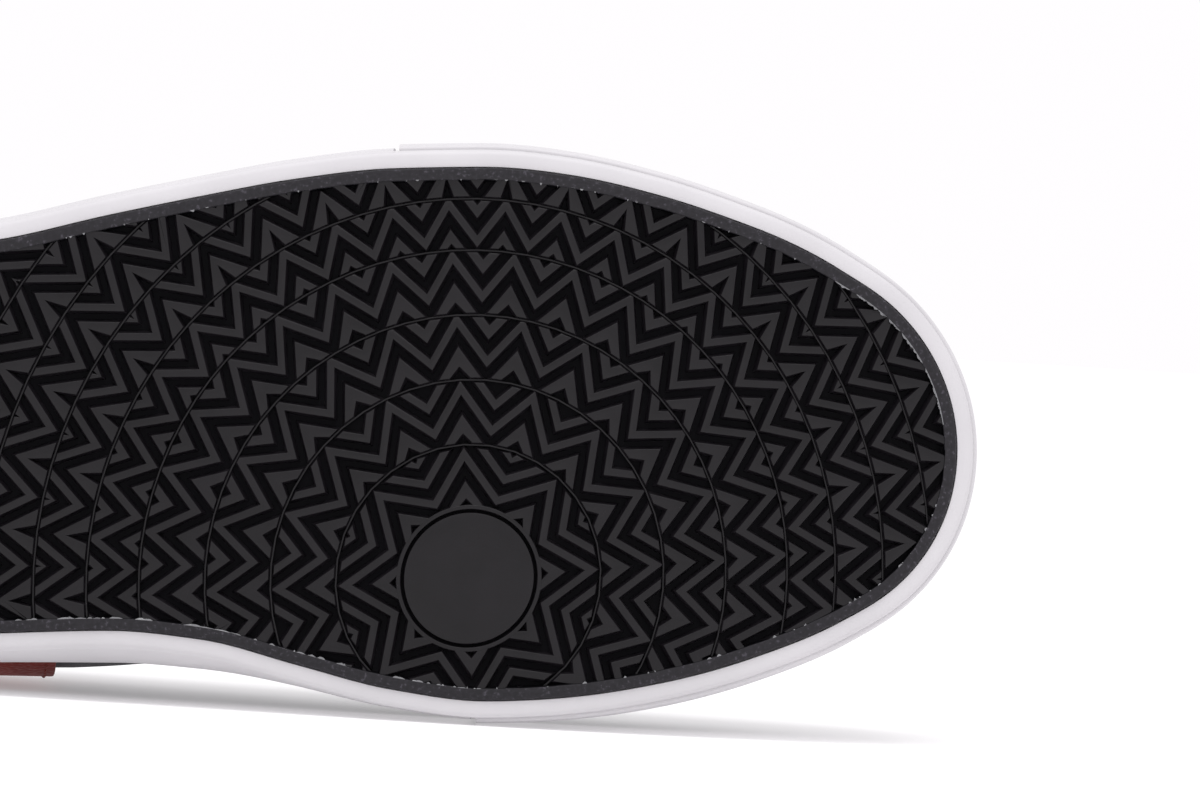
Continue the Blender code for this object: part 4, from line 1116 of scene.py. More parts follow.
def ring_beads(corners, faces):
    """The thin raised line that runs along each ring between the teeth."""
    w = BEAD_WIDTH / 2
    for ring in range(1, LAST_RING):
        count = periods(ring + 1)
        radius = ring_radius(ring)
        for k in range(2 * count):
            start = math.radians(STAR_TURN) + k * math.pi / count
            a, b = cmath.rect(1, start), cmath.rect(1, start + math.pi / count)
            inner, outer = radius - w, radius + w
            bead = ((inner * a, False), (outer * a, True), (outer * b, False), (inner * b, True))
            shape = in_the_field(bead)
            if shape and area_of(shape) > LEAST_BEAD:
                spots = [spot for spot, _ in shape]
                raise_form(corners, faces, shape, ((spots, TREAD_DEPTH), (spots, BEAD_SINK)))


def make_tread():
    corners, faces = [], []
    for ring in range(1, LAST_RING + 1):
        for k in range(periods(ring)):
            angle = math.radians(STAR_TURN) + k * 2 * math.pi / periods(ring)
            for turn in (1, -1):
                for shape in half_tooth(ring, angle, turn):
                    kept = in_the_field(shape)
                    if kept and area_of(kept) > LEAST_RIB:
                        add_rib(corners, faces, kept)
    ring_beads(corners, faces)
    tread = mesh_piece("tread_ribs", corners, faces)
    close_seams(tread, PANEL_SEAM, outward=False)
    finish_piece(tread, RUBBER_RIBS, (), 30)


BORDER_WIDTH = 0.00085
DISC_AROUND = 128
DISC_SEAM = 5e-6
FACING_DOWN = Vector((0, 0, -1))


def round_sheet(name, rings):
    """A round form of the tread about the disc's middle, through rings of (radius, depth)."""
    rows = []
    for radius, depth in rings:
        turns = evenly(0.0, 2 * math.pi, DISC_AROUND)
        rows.append([on_tread(cmath.rect(radius, turn), depth) for turn in turns])
    piece = sheet_of(name, rows)
    close_seams(piece, DISC_SEAM)
    turn_outward(piece, FACING_DOWN)
    finish_piece(piece, RUBBER_RIBS, (), 30)


def make_disc():
    """The flat disc under the ball of the foot, in its round groove and a raised border."""
    shoulder = ((0.0, 0.00024), (0.00008, 0.00007), (0.00022, 0.0))
    outer = FIRST_RING + BORDER_WIDTH
    border = [(outer + 0.0002, ROOT_DEPTH)]
    border += [(outer - inset, LUG_SINK + drop) for inset, drop in shoulder]
    border += [(FIRST_RING + inset, LUG_SINK + drop) for inset, drop in reversed(shoulder)]
    border.append((FIRST_RING - 0.0001, ROOT_DEPTH))
    round_sheet("disc_border", border)
    round_sheet("pivot_disc", [
        (PIVOT_RADIUS + 0.0002, ROOT_DEPTH),
        (PIVOT_RADIUS, LUG_SINK + 0.00025),
        (PIVOT_RADIUS - 0.00010, LUG_SINK + 0.00008),
        (PIVOT_RADIUS - 0.00030, LUG_SINK),
        (PIVOT_RADIUS * 0.75, LUG_SINK - 0.00002),
        (PIVOT_RADIUS * 0.50, LUG_SINK - 0.00003),
        (PIVOT_RADIUS * 0.25, LUG_SINK - 0.00004),
        (0.00002, LUG_SINK - 0.00004),
    ])


def turn_outward(piece, outward):
    """Flips an open sheet's faces if most of them look the wrong way."""
    total = sum((f.normal * f.area for f in piece.data.polygons), Vector((0, 0, 0)))
    if total.dot(outward) < 0:
        piece.data.flip_normals()


# Torn scraps left where the rim was trimmed: (side, from share, to share, how many, how long in metres)
FLASH = (
    ("lateral", 0.875, 0.985, 90, 0.0019),
    ("lateral", 0.30, 0.865, 36, 0.0008),
    ("medial", 0.28, 0.54, 34, 0.0034),
    ("medial", 0.54, 0.68, 26, 0.0021),
    ("medial", 0.68, 0.985, 24, 0.0009),
)
FLASH_REACH = 0.00048
FLASH_ROWS = 5


def make_flash():
    """Thin curled scraps of rubber along the inner edge of the rim, painted light grey as a highlight for
    their glint.
    """
    chance = random.Random(17)
    corners, faces = [], []
    for side, start, end, scraps, longest in FLASH:
        way = EDGES[side][-1][0]
        for _ in range(scraps):
            along = chance.uniform(start, end)
            length = longest * chance.uniform(0.25, 1.0) ** 1.5
            reach = FLASH_REACH * chance.uniform(0.35, 1.0)
            curl = chance.uniform(-0.00015, 0.00030)
            first = len(corners)
            for k in range(FLASH_ROWS):
                t = k / (FLASH_ROWS - 1)
                spot = along + (t - 0.5) * length / way
                full = math.sin(math.pi * (0.08 + 0.84 * t)) * chance.uniform(0.6, 1.1)
                root = -RIM_WIDTH + 0.00016
                corners.append(edge_point(side, spot, root, 0.00002))
                corners.append(edge_point(side, spot, root - reach * full, curl * full))
                corners.append(edge_point(side, spot, root - reach * 0.3, 0.00022))
            wrap(faces, first, 3, FLASH_ROWS)
            faces.append((first, first + 2, first + 1))
            last = first + 3 * (FLASH_ROWS - 1)
            faces.append((last, last + 1, last + 2))
    flash = mesh_piece("rim_scraps", corners, faces)
    close_seams(flash, LOOSE_SEAM)
    finish_piece(flash, RUBBER_FLASH_GLINT, (), 60)


# Foxing and toe strip


def foxing_stations(side):
    """Shares along a side, with a close pair where the wall steps in for the toe strip."""
    start = BUMPER_FROM[side]
    kept = [s for s in spread(FOXING_STATIONS) if abs(s - start) > STEP_ROOM]
    return sorted(kept + [start + STEP_SHARE * k for k in (-1, -0.4, 0.4, 1)])


def bumper_recess(side, along):
    depth = BUMPER_THICK + GAP - BUMPER_PROUD
    return depth if along > BUMPER_FROM[side] else 0.0


FOXING_NOTCH = 0.00018  # the fine line between the foxing's foot and its wall


def foxing_section(side, along):
    """The foxing's cross section at a station, as set-outs and heights."""
    x = edge_at(side, along)[0].x
    low, high = FOXING_LIFT, wall_top(x)
    base = base_height(x)
    inset = bumper_recess(side, along)
    bottom, top = low + BUMPER_MARGIN, high - BUMPER_MARGIN

    def wall(z):
        return outer_wall(side, along, (z - low) / (high - low))

    wave = ragged(side, along, 4, 0.00005)
    notch = FOXING_NOTCH if along < BUMPER_FROM[side] else 0.0
    spots = [
        (GAP * 0.2, base - GAP),
        (GAP * 0.2, low + 0.0003),
        (GAP * 0.6, low),
        (GAP + 0.0009, low - 0.00005 + wave),
        (GAP + FOXING_BASE - FOXING_BEVEL, low + wave),
        (GAP + FOXING_BASE - FOXING_BEVEL * 0.42, low + FOXING_BEVEL * 0.16),
        (GAP + FOXING_BASE - FOXING_BEVEL * 0.08, low + FOXING_BEVEL * 0.5),
        (GAP + FOXING_BASE - notch, low + FOXING_BEVEL * 0.62),
        (wall(low + FOXING_BEVEL) - notch * 0.7, low + FOXING_BEVEL * 0.82),
        (wall(low + FOXING_BEVEL), low + FOXING_BEVEL),
    ]
    spots += [(wall(z), z) for z in evenly(low + FOXING_BEVEL, bottom, 3)[1:]]
    spots += [(wall(z) - inset, z) for z in evenly(bottom + GAP / 3, top - GAP / 3, 7)]
    spots += [(wall(z), z) for z in evenly(top, high - FOXING_BEVEL, 3)]
    lip = wall(high)
    spots += [
        (lip - FOXING_BEVEL * 0.12, high - FOXING_BEVEL * 0.4),
        (lip - FOXING_BEVEL * 0.45, high - FOXING_BEVEL * 0.1),
        (lip - FOXING_BEVEL, high),
        (upper_foot(side, along, 1) + GAP, high),
        (upper_foot(side, along, 0) + GAP, base + GAP),
        (GAP * 0.2, base - GAP),
    ]
    return [edge_point(side, along, out, height) for out, height in spots]


def make_foxing():
    way = loop_of(foxing_stations("lateral"), foxing_stations("medial"))
    rows = [foxing_section(side, along) for side, along in way]
    rows.append(rows[0])
    finished_sheet("foxing_wall", rows, WHITE, ["foxing"], 40)


def strip_section(side, along):
    """The toe strip's cross section: a low cushion with a soft lip, let into the foxing."""
    x = edge_at(side, along)[0].x
    low, high = FOXING_LIFT, wall_top(x)
    bottom, top = low + BUMPER_MARGIN + 0.6 * GAP, high - BUMPER_MARGIN - 0.6 * GAP
    soft = BUMPER_PROUD * 0.6
    lip = ((1.0, 0.0), (0.35, 0.2), (0.05, 0.6))

    def at(z, extra):
        return outer_wall(side, along, (z - low) / (high - low)) + extra

    spots = [(at(bottom, BUMPER_PROUD - BUMPER_THICK), bottom)]
    spots += [(at(bottom, BUMPER_PROUD - soft * inset), bottom + soft * up) for inset, up in lip]
    spots += [(at(z, BUMPER_PROUD), z) for z in evenly(bottom + soft, top - soft, 8)]
    spots += [(at(top, BUMPER_PROUD - soft * inset), top - soft * up) for inset, up in reversed(lip)]
    spots.append((at(top, BUMPER_PROUD - BUMPER_THICK), top))
    spots.append(spots[0])
    return [edge_point(side, along, out, height) for out, height in spots]


def make_toe_strip():
    shares = {}
    for side in SIGN:
        first = BUMPER_FROM[side] + STEP_ROOM
        rest = [s for s in spread(170, 0.30) if s > first + 0.004]
        shares[side] = [first, first + 0.0008, first + 0.0022] + rest
    rows = [strip_section(side, along) for side, along in loop_of(shares["lateral"], shares["medial"])]
    ends = []
    for row in (rows[0], rows[-1]):
        middle = sum(row[:-1], Vector()) / (len(row) - 1)
        ends.append([middle.copy() for _ in row])
    rows = [ends[0]] + rows + [ends[1]]
    finished_sheet("toe_strip", rows, WHITE, ["toe_bumper"], 40)


# Upper


UPPER_STATIONS = 150
UPPER_FIXED = (THROAT_TOP, THROAT_END)


def upper_stations():
    """Sections of the upper, with one exactly at the throat's end and one at its top."""
    room = 0.35 / UPPER_STATIONS
    kept = [s for s in spread(UPPER_STATIONS) if all(abs(s - f) > room for f in UPPER_FIXED)]
    return sorted(kept + list(UPPER_FIXED))


# Soft troughs (positive depth) and ridges across the upper's face. along and level place a crease's middle,
# reach is its half length and spread its half width, in metres, and lean turns it from upright, in degrees:
# (side, along, level, reach, spread, lean, depth).
CREASES = (
    ("lateral", 0.700, 0.86, 0.026, 0.0046, 0, 0.0007),
    ("medial", 0.700, 0.86, 0.026, 0.0046, 0, 0.0007),
    ("lateral", 0.735, 0.80, 0.020, 0.0040, 0, -0.0004),
    ("medial", 0.735, 0.80, 0.020, 0.0040, 0, -0.0004),
    ("lateral", 0.765, 0.84, 0.022, 0.0050, 0, 0.0005),
    ("medial", 0.765, 0.84, 0.022, 0.0050, 0, 0.0005),
    ("lateral", 0.250, 0.45, 0.020, 0.0060, 20, 0.0006),
    ("medial", 0.250, 0.45, 0.022, 0.0070, 14, 0.0007),
    ("lateral", 0.190, 0.55, 0.016, 0.0050, -18, 0.0005),
    ("medial", 0.190, 0.55, 0.016, 0.0050, -18, 0.0005),
    ("lateral", 0.560, 0.42, 0.016, 0.0060, 35, 0.0005),
    ("medial", 0.540, 0.42, 0.018, 0.0060, 30, 0.0006),
)


CREASE_END = 2.4  # past this share of its reach a crease does nothing
UNREST = ((0.00028, 42), (0.00012, 110))  # metres, and how closely the waves follow each other


def crease_at(side, along, level):
    """How far the wall is pressed in at a spot by the creases near it."""
    if level <= 0:
        return 0.0
    spot = upper_surface(side, along, level)
    total = 0.0
    for c_side, c_along, c_level, reach, width, lean, depth in CREASES:
        centre = upper_surface(c_side, c_along, c_level)
        gap = spot - centre
        if gap.length > CREASE_END * reach or (side != c_side and level < 0.7):
            continue
        run = (upper_surface(c_side, c_along + 0.01, c_level) - centre).normalized()
        climb = (upper_surface(c_side, c_along, c_level + 0.03) - centre).normalized()
        turn = math.radians(lean)
        u = gap.dot(climb * math.cos(turn) + run * math.sin(turn)) / reach
        v = gap.dot(run * math.cos(turn) - climb * math.sin(turn)) / width
        total += depth * math.exp(-(u * u)) * math.exp(-(v * v))
    return total


def unrest(side, along, level):
    """The slow unevenness of a lasted upper."""
    spot = upper_surface(side, along, level)
    return sum(size * noise.noise(spot * scale) for size, scale in UNREST)


def outer_offset(side, along, level):
    if level <= 0:
        return 0.0
    fade = min(1.0, level / 0.12)
    edge = 1.0 if along >= THROAT_END else min(1.0, (1 - level) / 0.08)
    return (unrest(side, along, level) * edge - crease_at(side, along, level)) * fade


def wall_thickness(along, level):
    return WALL + (COLLAR_PAD - WALL) * pad_share(along, level)


UPPER_LEVELS = [-1.0, -0.5] + evenly(0.0, 1.0, 44)
LIP_STEPS = 7
LIP_OUTER, LIP_INNER = -0.10, -0.90  # where the rounded lip starts and ends, in shares of the wall


def collar_lip(side, along):
    """The rounded edge of the collar and the throat, from the outer face over to the inner one."""
    thick = wall_thickness(along, 1.0)
    outer = upper_point(side, along, 1.0, LIP_OUTER * thick)
    inner = upper_point(side, along, 1.0, LIP_INNER * thick)
    centre = (outer + inner) / 2
    arm = outer - centre
    climb = (upper_surface(side, along, 1.0) - upper_surface(side, along, 0.97)).normalized()
    climb = (climb - arm.normalized() * climb.dot(arm.normalized())).normalized()
    row = []
    for turn in evenly(0.0, math.pi, LIP_STEPS):
        row.append(centre + arm * math.cos(turn) + climb * (arm.length * 0.9 * math.sin(turn)))
    return row


def make_upper():
    shares = upper_stations()
    outers, inners, lips = [], [], []
    for side in SIGN:
        outer_rows, inner_rows = [], []
        for along in shares:
            outer, inner = [], []
            for level in UPPER_LEVELS:
                thick = wall_thickness(along, level)
                out, into = outer_offset(side, along, level), -thick
                if level >= 1 and along < THROAT_END:
                    out, into = LIP_OUTER * thick, LIP_INNER * thick
                outer.append(upper_point(side, along, level, out))
                inner.append(upper_point(side, along, level, into))
            outer_rows.append(outer)
            inner_rows.append(inner)
        outers.append(sheet_of("outer_" + side, outer_rows))
        inners.append(sheet_of("inner_" + side, inner_rows))
        edge = [collar_lip(side, s) for s in shares if s < THROAT_END]
        first = upper_point(side, THROAT_END, 1.0, outer_offset(side, THROAT_END, 1.0))
        last = upper_point(side, THROAT_END, 1.0, -wall_thickness(THROAT_END, 1.0))
        edge.append([first.lerp(last, t) for t in evenly(0.0, 1.0, LIP_STEPS)])
        lips.append(sheet_of("lip_" + side, edge))
        foot = [[upper_point(side, s, -1.0, 0.0), upper_point(side, s, -1.0, -WALL)] for s in shares]
        outers.append(sheet_of("foot_" + side, foot))
    for piece in outers + inners + lips:
        piece.data.materials.append(SUEDE)
        piece.data.materials.append(LINING)
    for piece in inners:
        for face in piece.data.polygons:
            face.material_index = 1
    for piece in lips:
        for face in piece.data.polygons:
            station = shares[min(face.index // LIP_STEPS, len(shares) - 1)]
            if station < THROAT_TOP - 0.01 and face.index % LIP_STEPS >= 1:
                face.material_index = 1
    shell = joined("upper_shell", outers + inners + lips)
    close_seams(shell, PANEL_SEAM)
    finish_piece(shell, None, ["upper"], 50)


# Overlays


def overlay(name, strips, outward, room, bevel, material, node):
    """Strips of one panel joined, thickened down towards the upper and rounded at the edge."""
    panel = joined(name, strips)
    close_seams(panel, PANEL_SEAM)
    turn_outward(panel, Vector(outward))
    apply(panel, "SOLIDIFY", thickness=OVERLAY + room, offset=-1.0, use_even_offset=True)
    apply(panel, "BEVEL", width=bevel, segments=2, limit_method="ANGLE", angle_limit=math.radians(50))
    finish_piece(panel, material, [node], 50)


def eyestay_low(share):
    """Level of the eyestay's lower edge: even along the throat, rounded past its end."""
    past = max(0.0, share - THROAT_END) / STAY_PAST * math.sin(math.radians(STAY_TURN))
    return 1 - (1 - STAY_LOW) * math.sqrt(1 - past * past)


def eyestay_shares():
    """Sections of the eyestay, closer together where its toe end turns round."""
    turns = evenly(0.0, math.radians(STAY_TURN), 24)
    end = [THROAT_END + STAY_PAST * math.sin(t) / math.sin(turns[-1]) for t in turns]
    return evenly(THROAT_TOP + 0.006, THROAT_END, 76)[:-1] + end


def make_eyestay():
    strips = []
    for side in SIGN:
        rows = []
        for s in eyestay_shares():
            levels = evenly(eyestay_low(s), 1.0 if s >= THROAT_END else 0.985, 10)
            rows.append([upper_point(side, s, v, GAP + OVERLAY) for v in levels])
        strips.append(sheet_of("stay_" + side, rows))
    overlay("eyestay_panel", strips, (0.3, 0, 1), GAP * 0.5, 0.00035, SUEDE_TRIM, "eyestay")


def band_share(share, level):
    """Where an upright line of a side band runs at a level: it leans forward at its foot."""
    return share - BAND_LEAN * (level - BAND_LEAN_LEVEL)


def make_side_band(side):
    """A plain band from the foxing up to the eyestay."""
    rows = []
    for share in evenly(BAND_FROM, BAND_TO, 24):
        levels = evenly(BAND_FOOT, BAND_HEAD, 48)
        rows.append([upper_point(side, band_share(share, v), v, BAND_GAP + OVERLAY) for v in levels])
    strips = [sheet_of("side_band_panel_" + side, rows)]
    outward = (0, SIGN[side], 0)
    overlay(strips[0].name, strips, outward, BAND_GAP * 0.6, 0.0003, RED, "side_band_" + side)


def counter_top(s):
    """Level of the heel counter's upper edge: high at the back, falling forwards."""
    return COUNTER_HIGH - COUNTER_FALL * (s / COUNTER_TO) ** 2


def make_heel_counter():
    strips = []
    for side in SIGN:
        rows = []
        for s in evenly(0.0, COUNTER_TO, 40):
            levels = evenly(COUNTER_FOOT, counter_top(s), 30)
            rows.append([upper_point(side, s, v, GAP + OVERLAY) for v in levels])
        strips.append(sheet_of("counter_" + side, rows))
    overlay("heel_counter_panel", strips, (-1, 0, 0), GAP * 0.5, 0.00035, SUEDE_TRIM, "heel_counter")


# Stitches


STITCH_PITCH = 0.0030
STITCH_LENGTH = 0.0022
STITCH_THICK = 0.00052
STITCH_AROUND = 6
# A stitch's rings: how far along it, how thick and how far sunk, the last two as shares of its thickness
STITCH_RINGS = ((0.0, 0.45, 0.30), (0.18, 0.9, 0.02), (0.5, 1.0, -0.10), (0.82, 0.9, 0.02), (1.0, 0.45, 0.30))
STITCH_LIFT = STITCH_THICK * 0.2


def spaced(path, pitch, length):
    """Pairs of ends along a path of (place, upward direction), one pair for each stitch."""
    walked = [0.0]
    for (a, _), (b, _) in zip(path, path[1:]):
        walked.append(walked[-1] + (b - a).length)

    def at(distance):
        i = max(k for k in range(len(walked) - 1) if walked[k] <= distance)
        t = (distance - walked[i]) / (walked[i + 1] - walked[i])
        return path[i][0].lerp(path[i + 1][0], t), path[i][1].lerp(path[i + 1][1], t)

    count = int(walked[-1] / pitch)
    ends = []
    for k in range(count):
        start = (k + 0.5) * walked[-1] / count - length / 2
        ends.append((at(start), at(start + length)))
    return ends


def add_stitch(corners, faces, ends):
    """One stitch: a short thread that dips into the panel at both ends."""
    (a, up_a), (b, up_b) = ends
    run = (b - a).normalized()
    first = len(corners)
    turns = evenly(0.0, 2 * math.pi, STITCH_AROUND)[:-1]
    for t, size, sink in STITCH_RINGS:
        up = up_a.lerp(up_b, t).normalized()
        side = run.cross(up).normalized()
        centre = a.lerp(b, t) - up * (STITCH_THICK * sink)
        for turn in turns:
            arm = side * math.cos(turn) + up * math.sin(turn) * 0.8
            corners.append(centre + arm * (STITCH_THICK * size / 2))
    last = first + (len(STITCH_RINGS) - 1) * STITCH_AROUND
    wrap(faces, first, STITCH_AROUND, len(STITCH_RINGS))
    faces.append(tuple(first + k for k in reversed(range(STITCH_AROUND))))
    faces.append(tuple(last + k for k in range(STITCH_AROUND)))


def seams():
    """A side's seams as rows of (share, level, height over the upper): the suede's, then the band's."""
    panel, band = GAP + OVERLAY + STITCH_LIFT, BAND_GAP + OVERLAY + STITCH_LIFT
    stay, top = evenly(THROAT_TOP + 0.012, THROAT_END + 0.034, 90), counter_top(COUNTER_TO)
    dark = [[(s, eyestay_low(s) + inset, panel) for s in stay] for inset in (0.022, 0.046)]
    dark += [
        [(s, 0.965, panel) for s in evenly(THROAT_TOP + 0.012, THROAT_END - 0.006, 80)],
        [(s, counter_top(s) - 0.030, panel) for s in evenly(0.003, COUNTER_TO - 0.006, 50)],
        [(COUNTER_TO - 0.005, v, panel) for v in evenly(0.06, top - 0.04, 30)],
        [(s, 0.915, STITCH_LIFT) for s in evenly(0.010, THROAT_TOP - 0.006, 90)],
    ]
    red = []
    for share in (BAND_FROM + 0.0055, BAND_TO - 0.0055):
        levels = evenly(0.06, 0.745, 60)
        red.append([(band_share(share, v), v, band) for v in levels])
    return dark, red


def make_stitches():
    dark, red = seams()
    for name, material, slot, paths in (
        ("panel_stitches", THREAD, "suede", dark),
        ("band_stitches", THREAD_RED, "red_leather", red),
    ):
        corners, faces = [], []
        for side in SIGN:
            for seam in paths:
                path = [(upper_point(side, s, v, up), upper_normal(side, s, v)) for s, v, up in seam]
                for ends in spaced(path, STITCH_PITCH, STITCH_LENGTH):
                    add_stitch(corners, faces, ends)
        stitches = mesh_piece(name, corners, faces)
        close_seams(stitches, LOOSE_SEAM)
        finish_piece(stitches, material, (), 60)


# Footbed and tongue


def make_footbed():
    """A drop-in footbed with a raised, rounded rim and a dished heel."""
    rings = [(0.0, 0.0), (0.5, 0.0), (0.88, 0.0), (0.97, 0.0004), (1.0, 0.0013)]
    rows = []
    for along in spread(160):
        half = []
        for side in SIGN:
            x = edge_at(side, along)[0].x
            base = base_height(x) + GAP
            spots = []
            for lift, soft in rings:
                rise = INSOLE_THICK * lift
                foot = upper_foot(side, along, rise / (wall_top(x) - base))
                spots.append(edge_point(side, along, foot - WALL - 2.5 * GAP - soft, base + rise))
            half.append(spots)
        left, right = half
        width = (left[-1] - right[-1]).length
        top = []
        for t in evenly(0.0, 1.0, 24)[1:-1]:
            dish = FOOTBED_DISH * math.sin(math.pi * t) ** 0.7 * min(1.0, width / 0.05)
            top.append(left[-1].lerp(right[-1], t) - Vector((0, 0, dish)))
        bottom = [right[0].lerp(left[0], t) for t in evenly(0.0, 1.0, 4)[1:-1]]
        rows.append(left + top + right[::-1] + bottom + [left[0]])
    bed = sheet_of("footbed", rows)
    close_seams(bed)
    finish_piece(bed, FOAM, ["insole"], 60)


def tongue_section(along):
    """The tongue's upper face across the throat: under the lateral eyestay, over, under the medial one."""
    under_vamp = min(max((along - THROAT_END) / 0.02 + 2, 0.0), 2.0)
    depth = -(WALL + 3 * GAP + TONGUE_DIPS * under_vamp)
    edge = 0.985 if along < THROAT_END - 0.03 else 0.94
    levels = evenly(0.75, edge, 6)
    left = [upper_point("lateral", along, v, depth) for v in levels]
    right = [upper_point("medial", along, v, depth) for v in levels]
    crown = TONGUE_CROWN * min(1.0, (left[-1] - right[-1]).length / (COLLAR_WIDTH * 0.4))
    middle = []
    for t in evenly(0.0, 1.0, TONGUE_FINE)[1:-1]:
        middle.append(left[-1].lerp(right[-1], t) + Vector((0, 0, crown * math.sin(math.pi * t))))
    return left + middle + right[::-1]


def tongue_sections():
    """The tongue from under the vamp to its free top, which narrows and leans forward."""
    sections = [tongue_section(s) for s in evenly(THROAT_END + 0.02, THROAT_TOP, 48)]
    middle = len(sections[0]) // 2
    top = sections[-1]
    run = (top[middle] - sections[-9][middle]).normalized()
    for share in evenly(0.0, 1.0, 18)[1:]:
        moved = [p + run * (TONGUE_RISE * share) for p in top]
        lift = Vector((TONGUE_RISE * 0.16 * share * share, 0, 0))
        narrow = 1.0 - TONGUE_NARROWS * math.sqrt(share)
        if share > 0.85:
            narrow *= 1 - 0.22 * ((share - 0.85) / 0.15) ** 2
        sections.append([moved[middle] + (p - moved[middle]) * narrow + lift for p in moved])
    return sections


def make_tongue():
    """A padded tongue: two faces, full in the middle and thin at the edge."""
    sections = tongue_sections()
    middle = len(sections[0]) // 2
    last = len(sections) - 1
    rows = []
    for i, section in enumerate(sections):
        direction = run_at([row[middle] for row in sections], i)
        tip = min(1.0, (last - i) / 2.5 + 0.32)
        below = []
        for j, p in enumerate(section):
            normal = run_at(section, j).cross(direction).normalized()
            if normal.z > 0:
                normal = -normal
            thin = min(1.0, 0.45 + 0.2 * min(j, len(section) - 1 - j))
            below.append(p + normal * TONGUE_THICK * thin * tip)
        rows.append(section + below[::-1] + [section[0]])
    ends = []
    for row in (rows[0], rows[-1]):
        flat = [row[k].lerp(row[-k - 2], 0.5) for k in range(len(row) - 1)]
        ends.append(flat + [flat[0]])
    tongue = sheet_of("tongue_pad", [ends[0]] + rows + [ends[1]])
    close_seams(tongue, PANEL_SEAM)
    finish_piece(tongue, LINING, ["tongue"], 60)


# Eyelets and lace


def eyelet_share(index):
    first, last = THROAT_TOP + 0.020, THROAT_END - 0.032
    return first + (last - first) * index / (EYELETS - 1)


def eyelet_spot(side, index):
    """An eyelet's middle on the upper's face, and the direction out of it."""
    s = eyelet_share(index)
    return upper_surface(side, s, EYELET_LEVEL), upper_normal(side, s, EYELET_LEVEL)


def make_eyelet(side, index):
    """A pressed eyelet: a rolled flange on the eyestay and a barrel through it and the upper."""
    at, normal = eyelet_spot(side, index)
    middle = at + normal * (GAP + OVERLAY)
    turn = normal.to_track_quat("Z", "Y").to_matrix()
    length = OVERLAY + GAP + WALL
    roll = EYELET_THICK
    profile = [
        (EYELET_RADIUS, 0.0),
        (EYELET_RADIUS, roll * 0.35),
        (EYELET_RADIUS - 0.0002, roll * 0.75),
        (EYELET_RADIUS - 0.0006, roll),
        (EYELET_HOLE + 0.0006, roll),
        (EYELET_HOLE + 0.0002, roll * 0.8),
        (EYELET_HOLE, roll * 0.3),
        (EYELET_HOLE, -length),
        (EYELET_BARREL, -length),
        (EYELET_BARREL, 0.0),
        (EYELET_RADIUS, 0.0),
    ]
    rows = []
    for a in evenly(0.0, 2 * math.pi, EYELET_AROUND):
        rows.append([middle + turn @ Vector((r * math.cos(a), r * math.sin(a), z)) for r, z in profile])
    name = f"{side}_{index + 1}"
    finished_sheet("eyelet_ring_" + name, rows, METAL, ["eyelet_" + name], 35)


def over_tongue(a, b):
    """Height at which the lace clears the tongue between two eyelets."""
    share = (eyelet_share(a) + eyelet_share(b)) / 2
    return max(p.z for p in tongue_section(share)) + LACE_THICK * 0.75


def through_stay(at, up, way):
    """The lace's hidden end: inside an eyelet, bending, and away under the stay."""
    return [
        (at - up * 0.0008, way, 0.0033, 0.0020),
        (at - up * (WALL + 0.0006) + way * 0.0010, (up + way * 0.6).normalized(), 0.0036, 0.0018),
        (at - up * (WALL + 0.0010) + way * 0.0040, up, 0.0050, LACE_THICK),
    ]


def lace_run(start, end):
    """One crossing of the lace: up out of an eyelet, over the tongue, under the other stay and up its eyelet.

    Each row is a place, its upward direction, the lace's width and its thickness there.
    """
    (at_a, up_a), (at_b, up_b) = eyelet_spot(*start), eyelet_spot(*end)
    over = OVERLAY + GAP + EYELET_THICK + LACE_THICK * 0.8
    across = (at_b - at_a).normalized()
    middle = at_a.lerp(at_b, 0.5)
    middle.z = max(over_tongue(start[1], end[1]), middle.z)
    up = (up_a + up_b).normalized()
    edge_a = at_a.lerp(at_b, 0.22) + up_a * (over * 0.75)
    edge_b = at_a.lerp(at_b, 0.80) - up_b * (WALL * 0.55)
    rows = [
        (at_a - up_a * (WALL + 0.0008), across, 0.0034, 0.0022),
        (at_a + up_a * 0.0006, (across - up_a * 0.2).normalized(), 0.0032, 0.0022),
        (at_a + up_a * (over + 0.0002) + across * 0.0012, up_a, 0.0040, 0.0018),
        (at_a + up_a * over + across * 0.0046, up_a, LACE_WIDTH * 0.95, LACE_THICK),
        (edge_a, up_a.lerp(up, 0.5), LACE_WIDTH, LACE_THICK),
        (middle, up, LACE_WIDTH, LACE_THICK),
        (edge_b, up_b.lerp(up, 0.4), LACE_WIDTH * 0.96, LACE_THICK),
    ]
    return rows + through_stay(at_b, up_b, -across)[::-1]


def lace_bar():
    """The straight bar between the two lowest eyelets, under both stays and over the tongue."""
    last = EYELETS - 1
    (at_a, up_a), (at_b, up_b) = (eyelet_spot(side, last) for side in SIGN)
    across = (at_b - at_a).normalized()
    middle = at_a.lerp(at_b, 0.5)
    middle.z = max(over_tongue(last, last), middle.z - WALL)
    (p, up, width, thick), *under = through_stay(at_b, up_b, -across)
    back = [(p, -up, width, thick)] + under
    bar = (middle, (up_a + up_b).normalized(), LACE_WIDTH, LACE_THICK)
    return through_stay(at_a, up_a, across) + [bar] + back[::-1]


def smooth_through(rows, steps):
    """Rows between rows on a Catmull-Rom curve."""
    made = []
    for i in range(len(rows) - 1):
        around = [rows[max(i - 1, 0)], rows[i], rows[i + 1], rows[min(i + 2, len(rows) - 1)]]
        for k in range(steps if i < len(rows) - 2 else steps + 1):
            t = k / steps
            blended = []
            for field in range(4):
                a, b, c, d = (row[field] for row in around)
                square, cube = a * 2 - b * 5 + c * 4 - d, b * 3 - a - c * 3 + d
                blended.append((b * 2 + (c - a) * t + square * t * t + cube * t * t * t) * 0.5)
            made.append(blended)
    return made


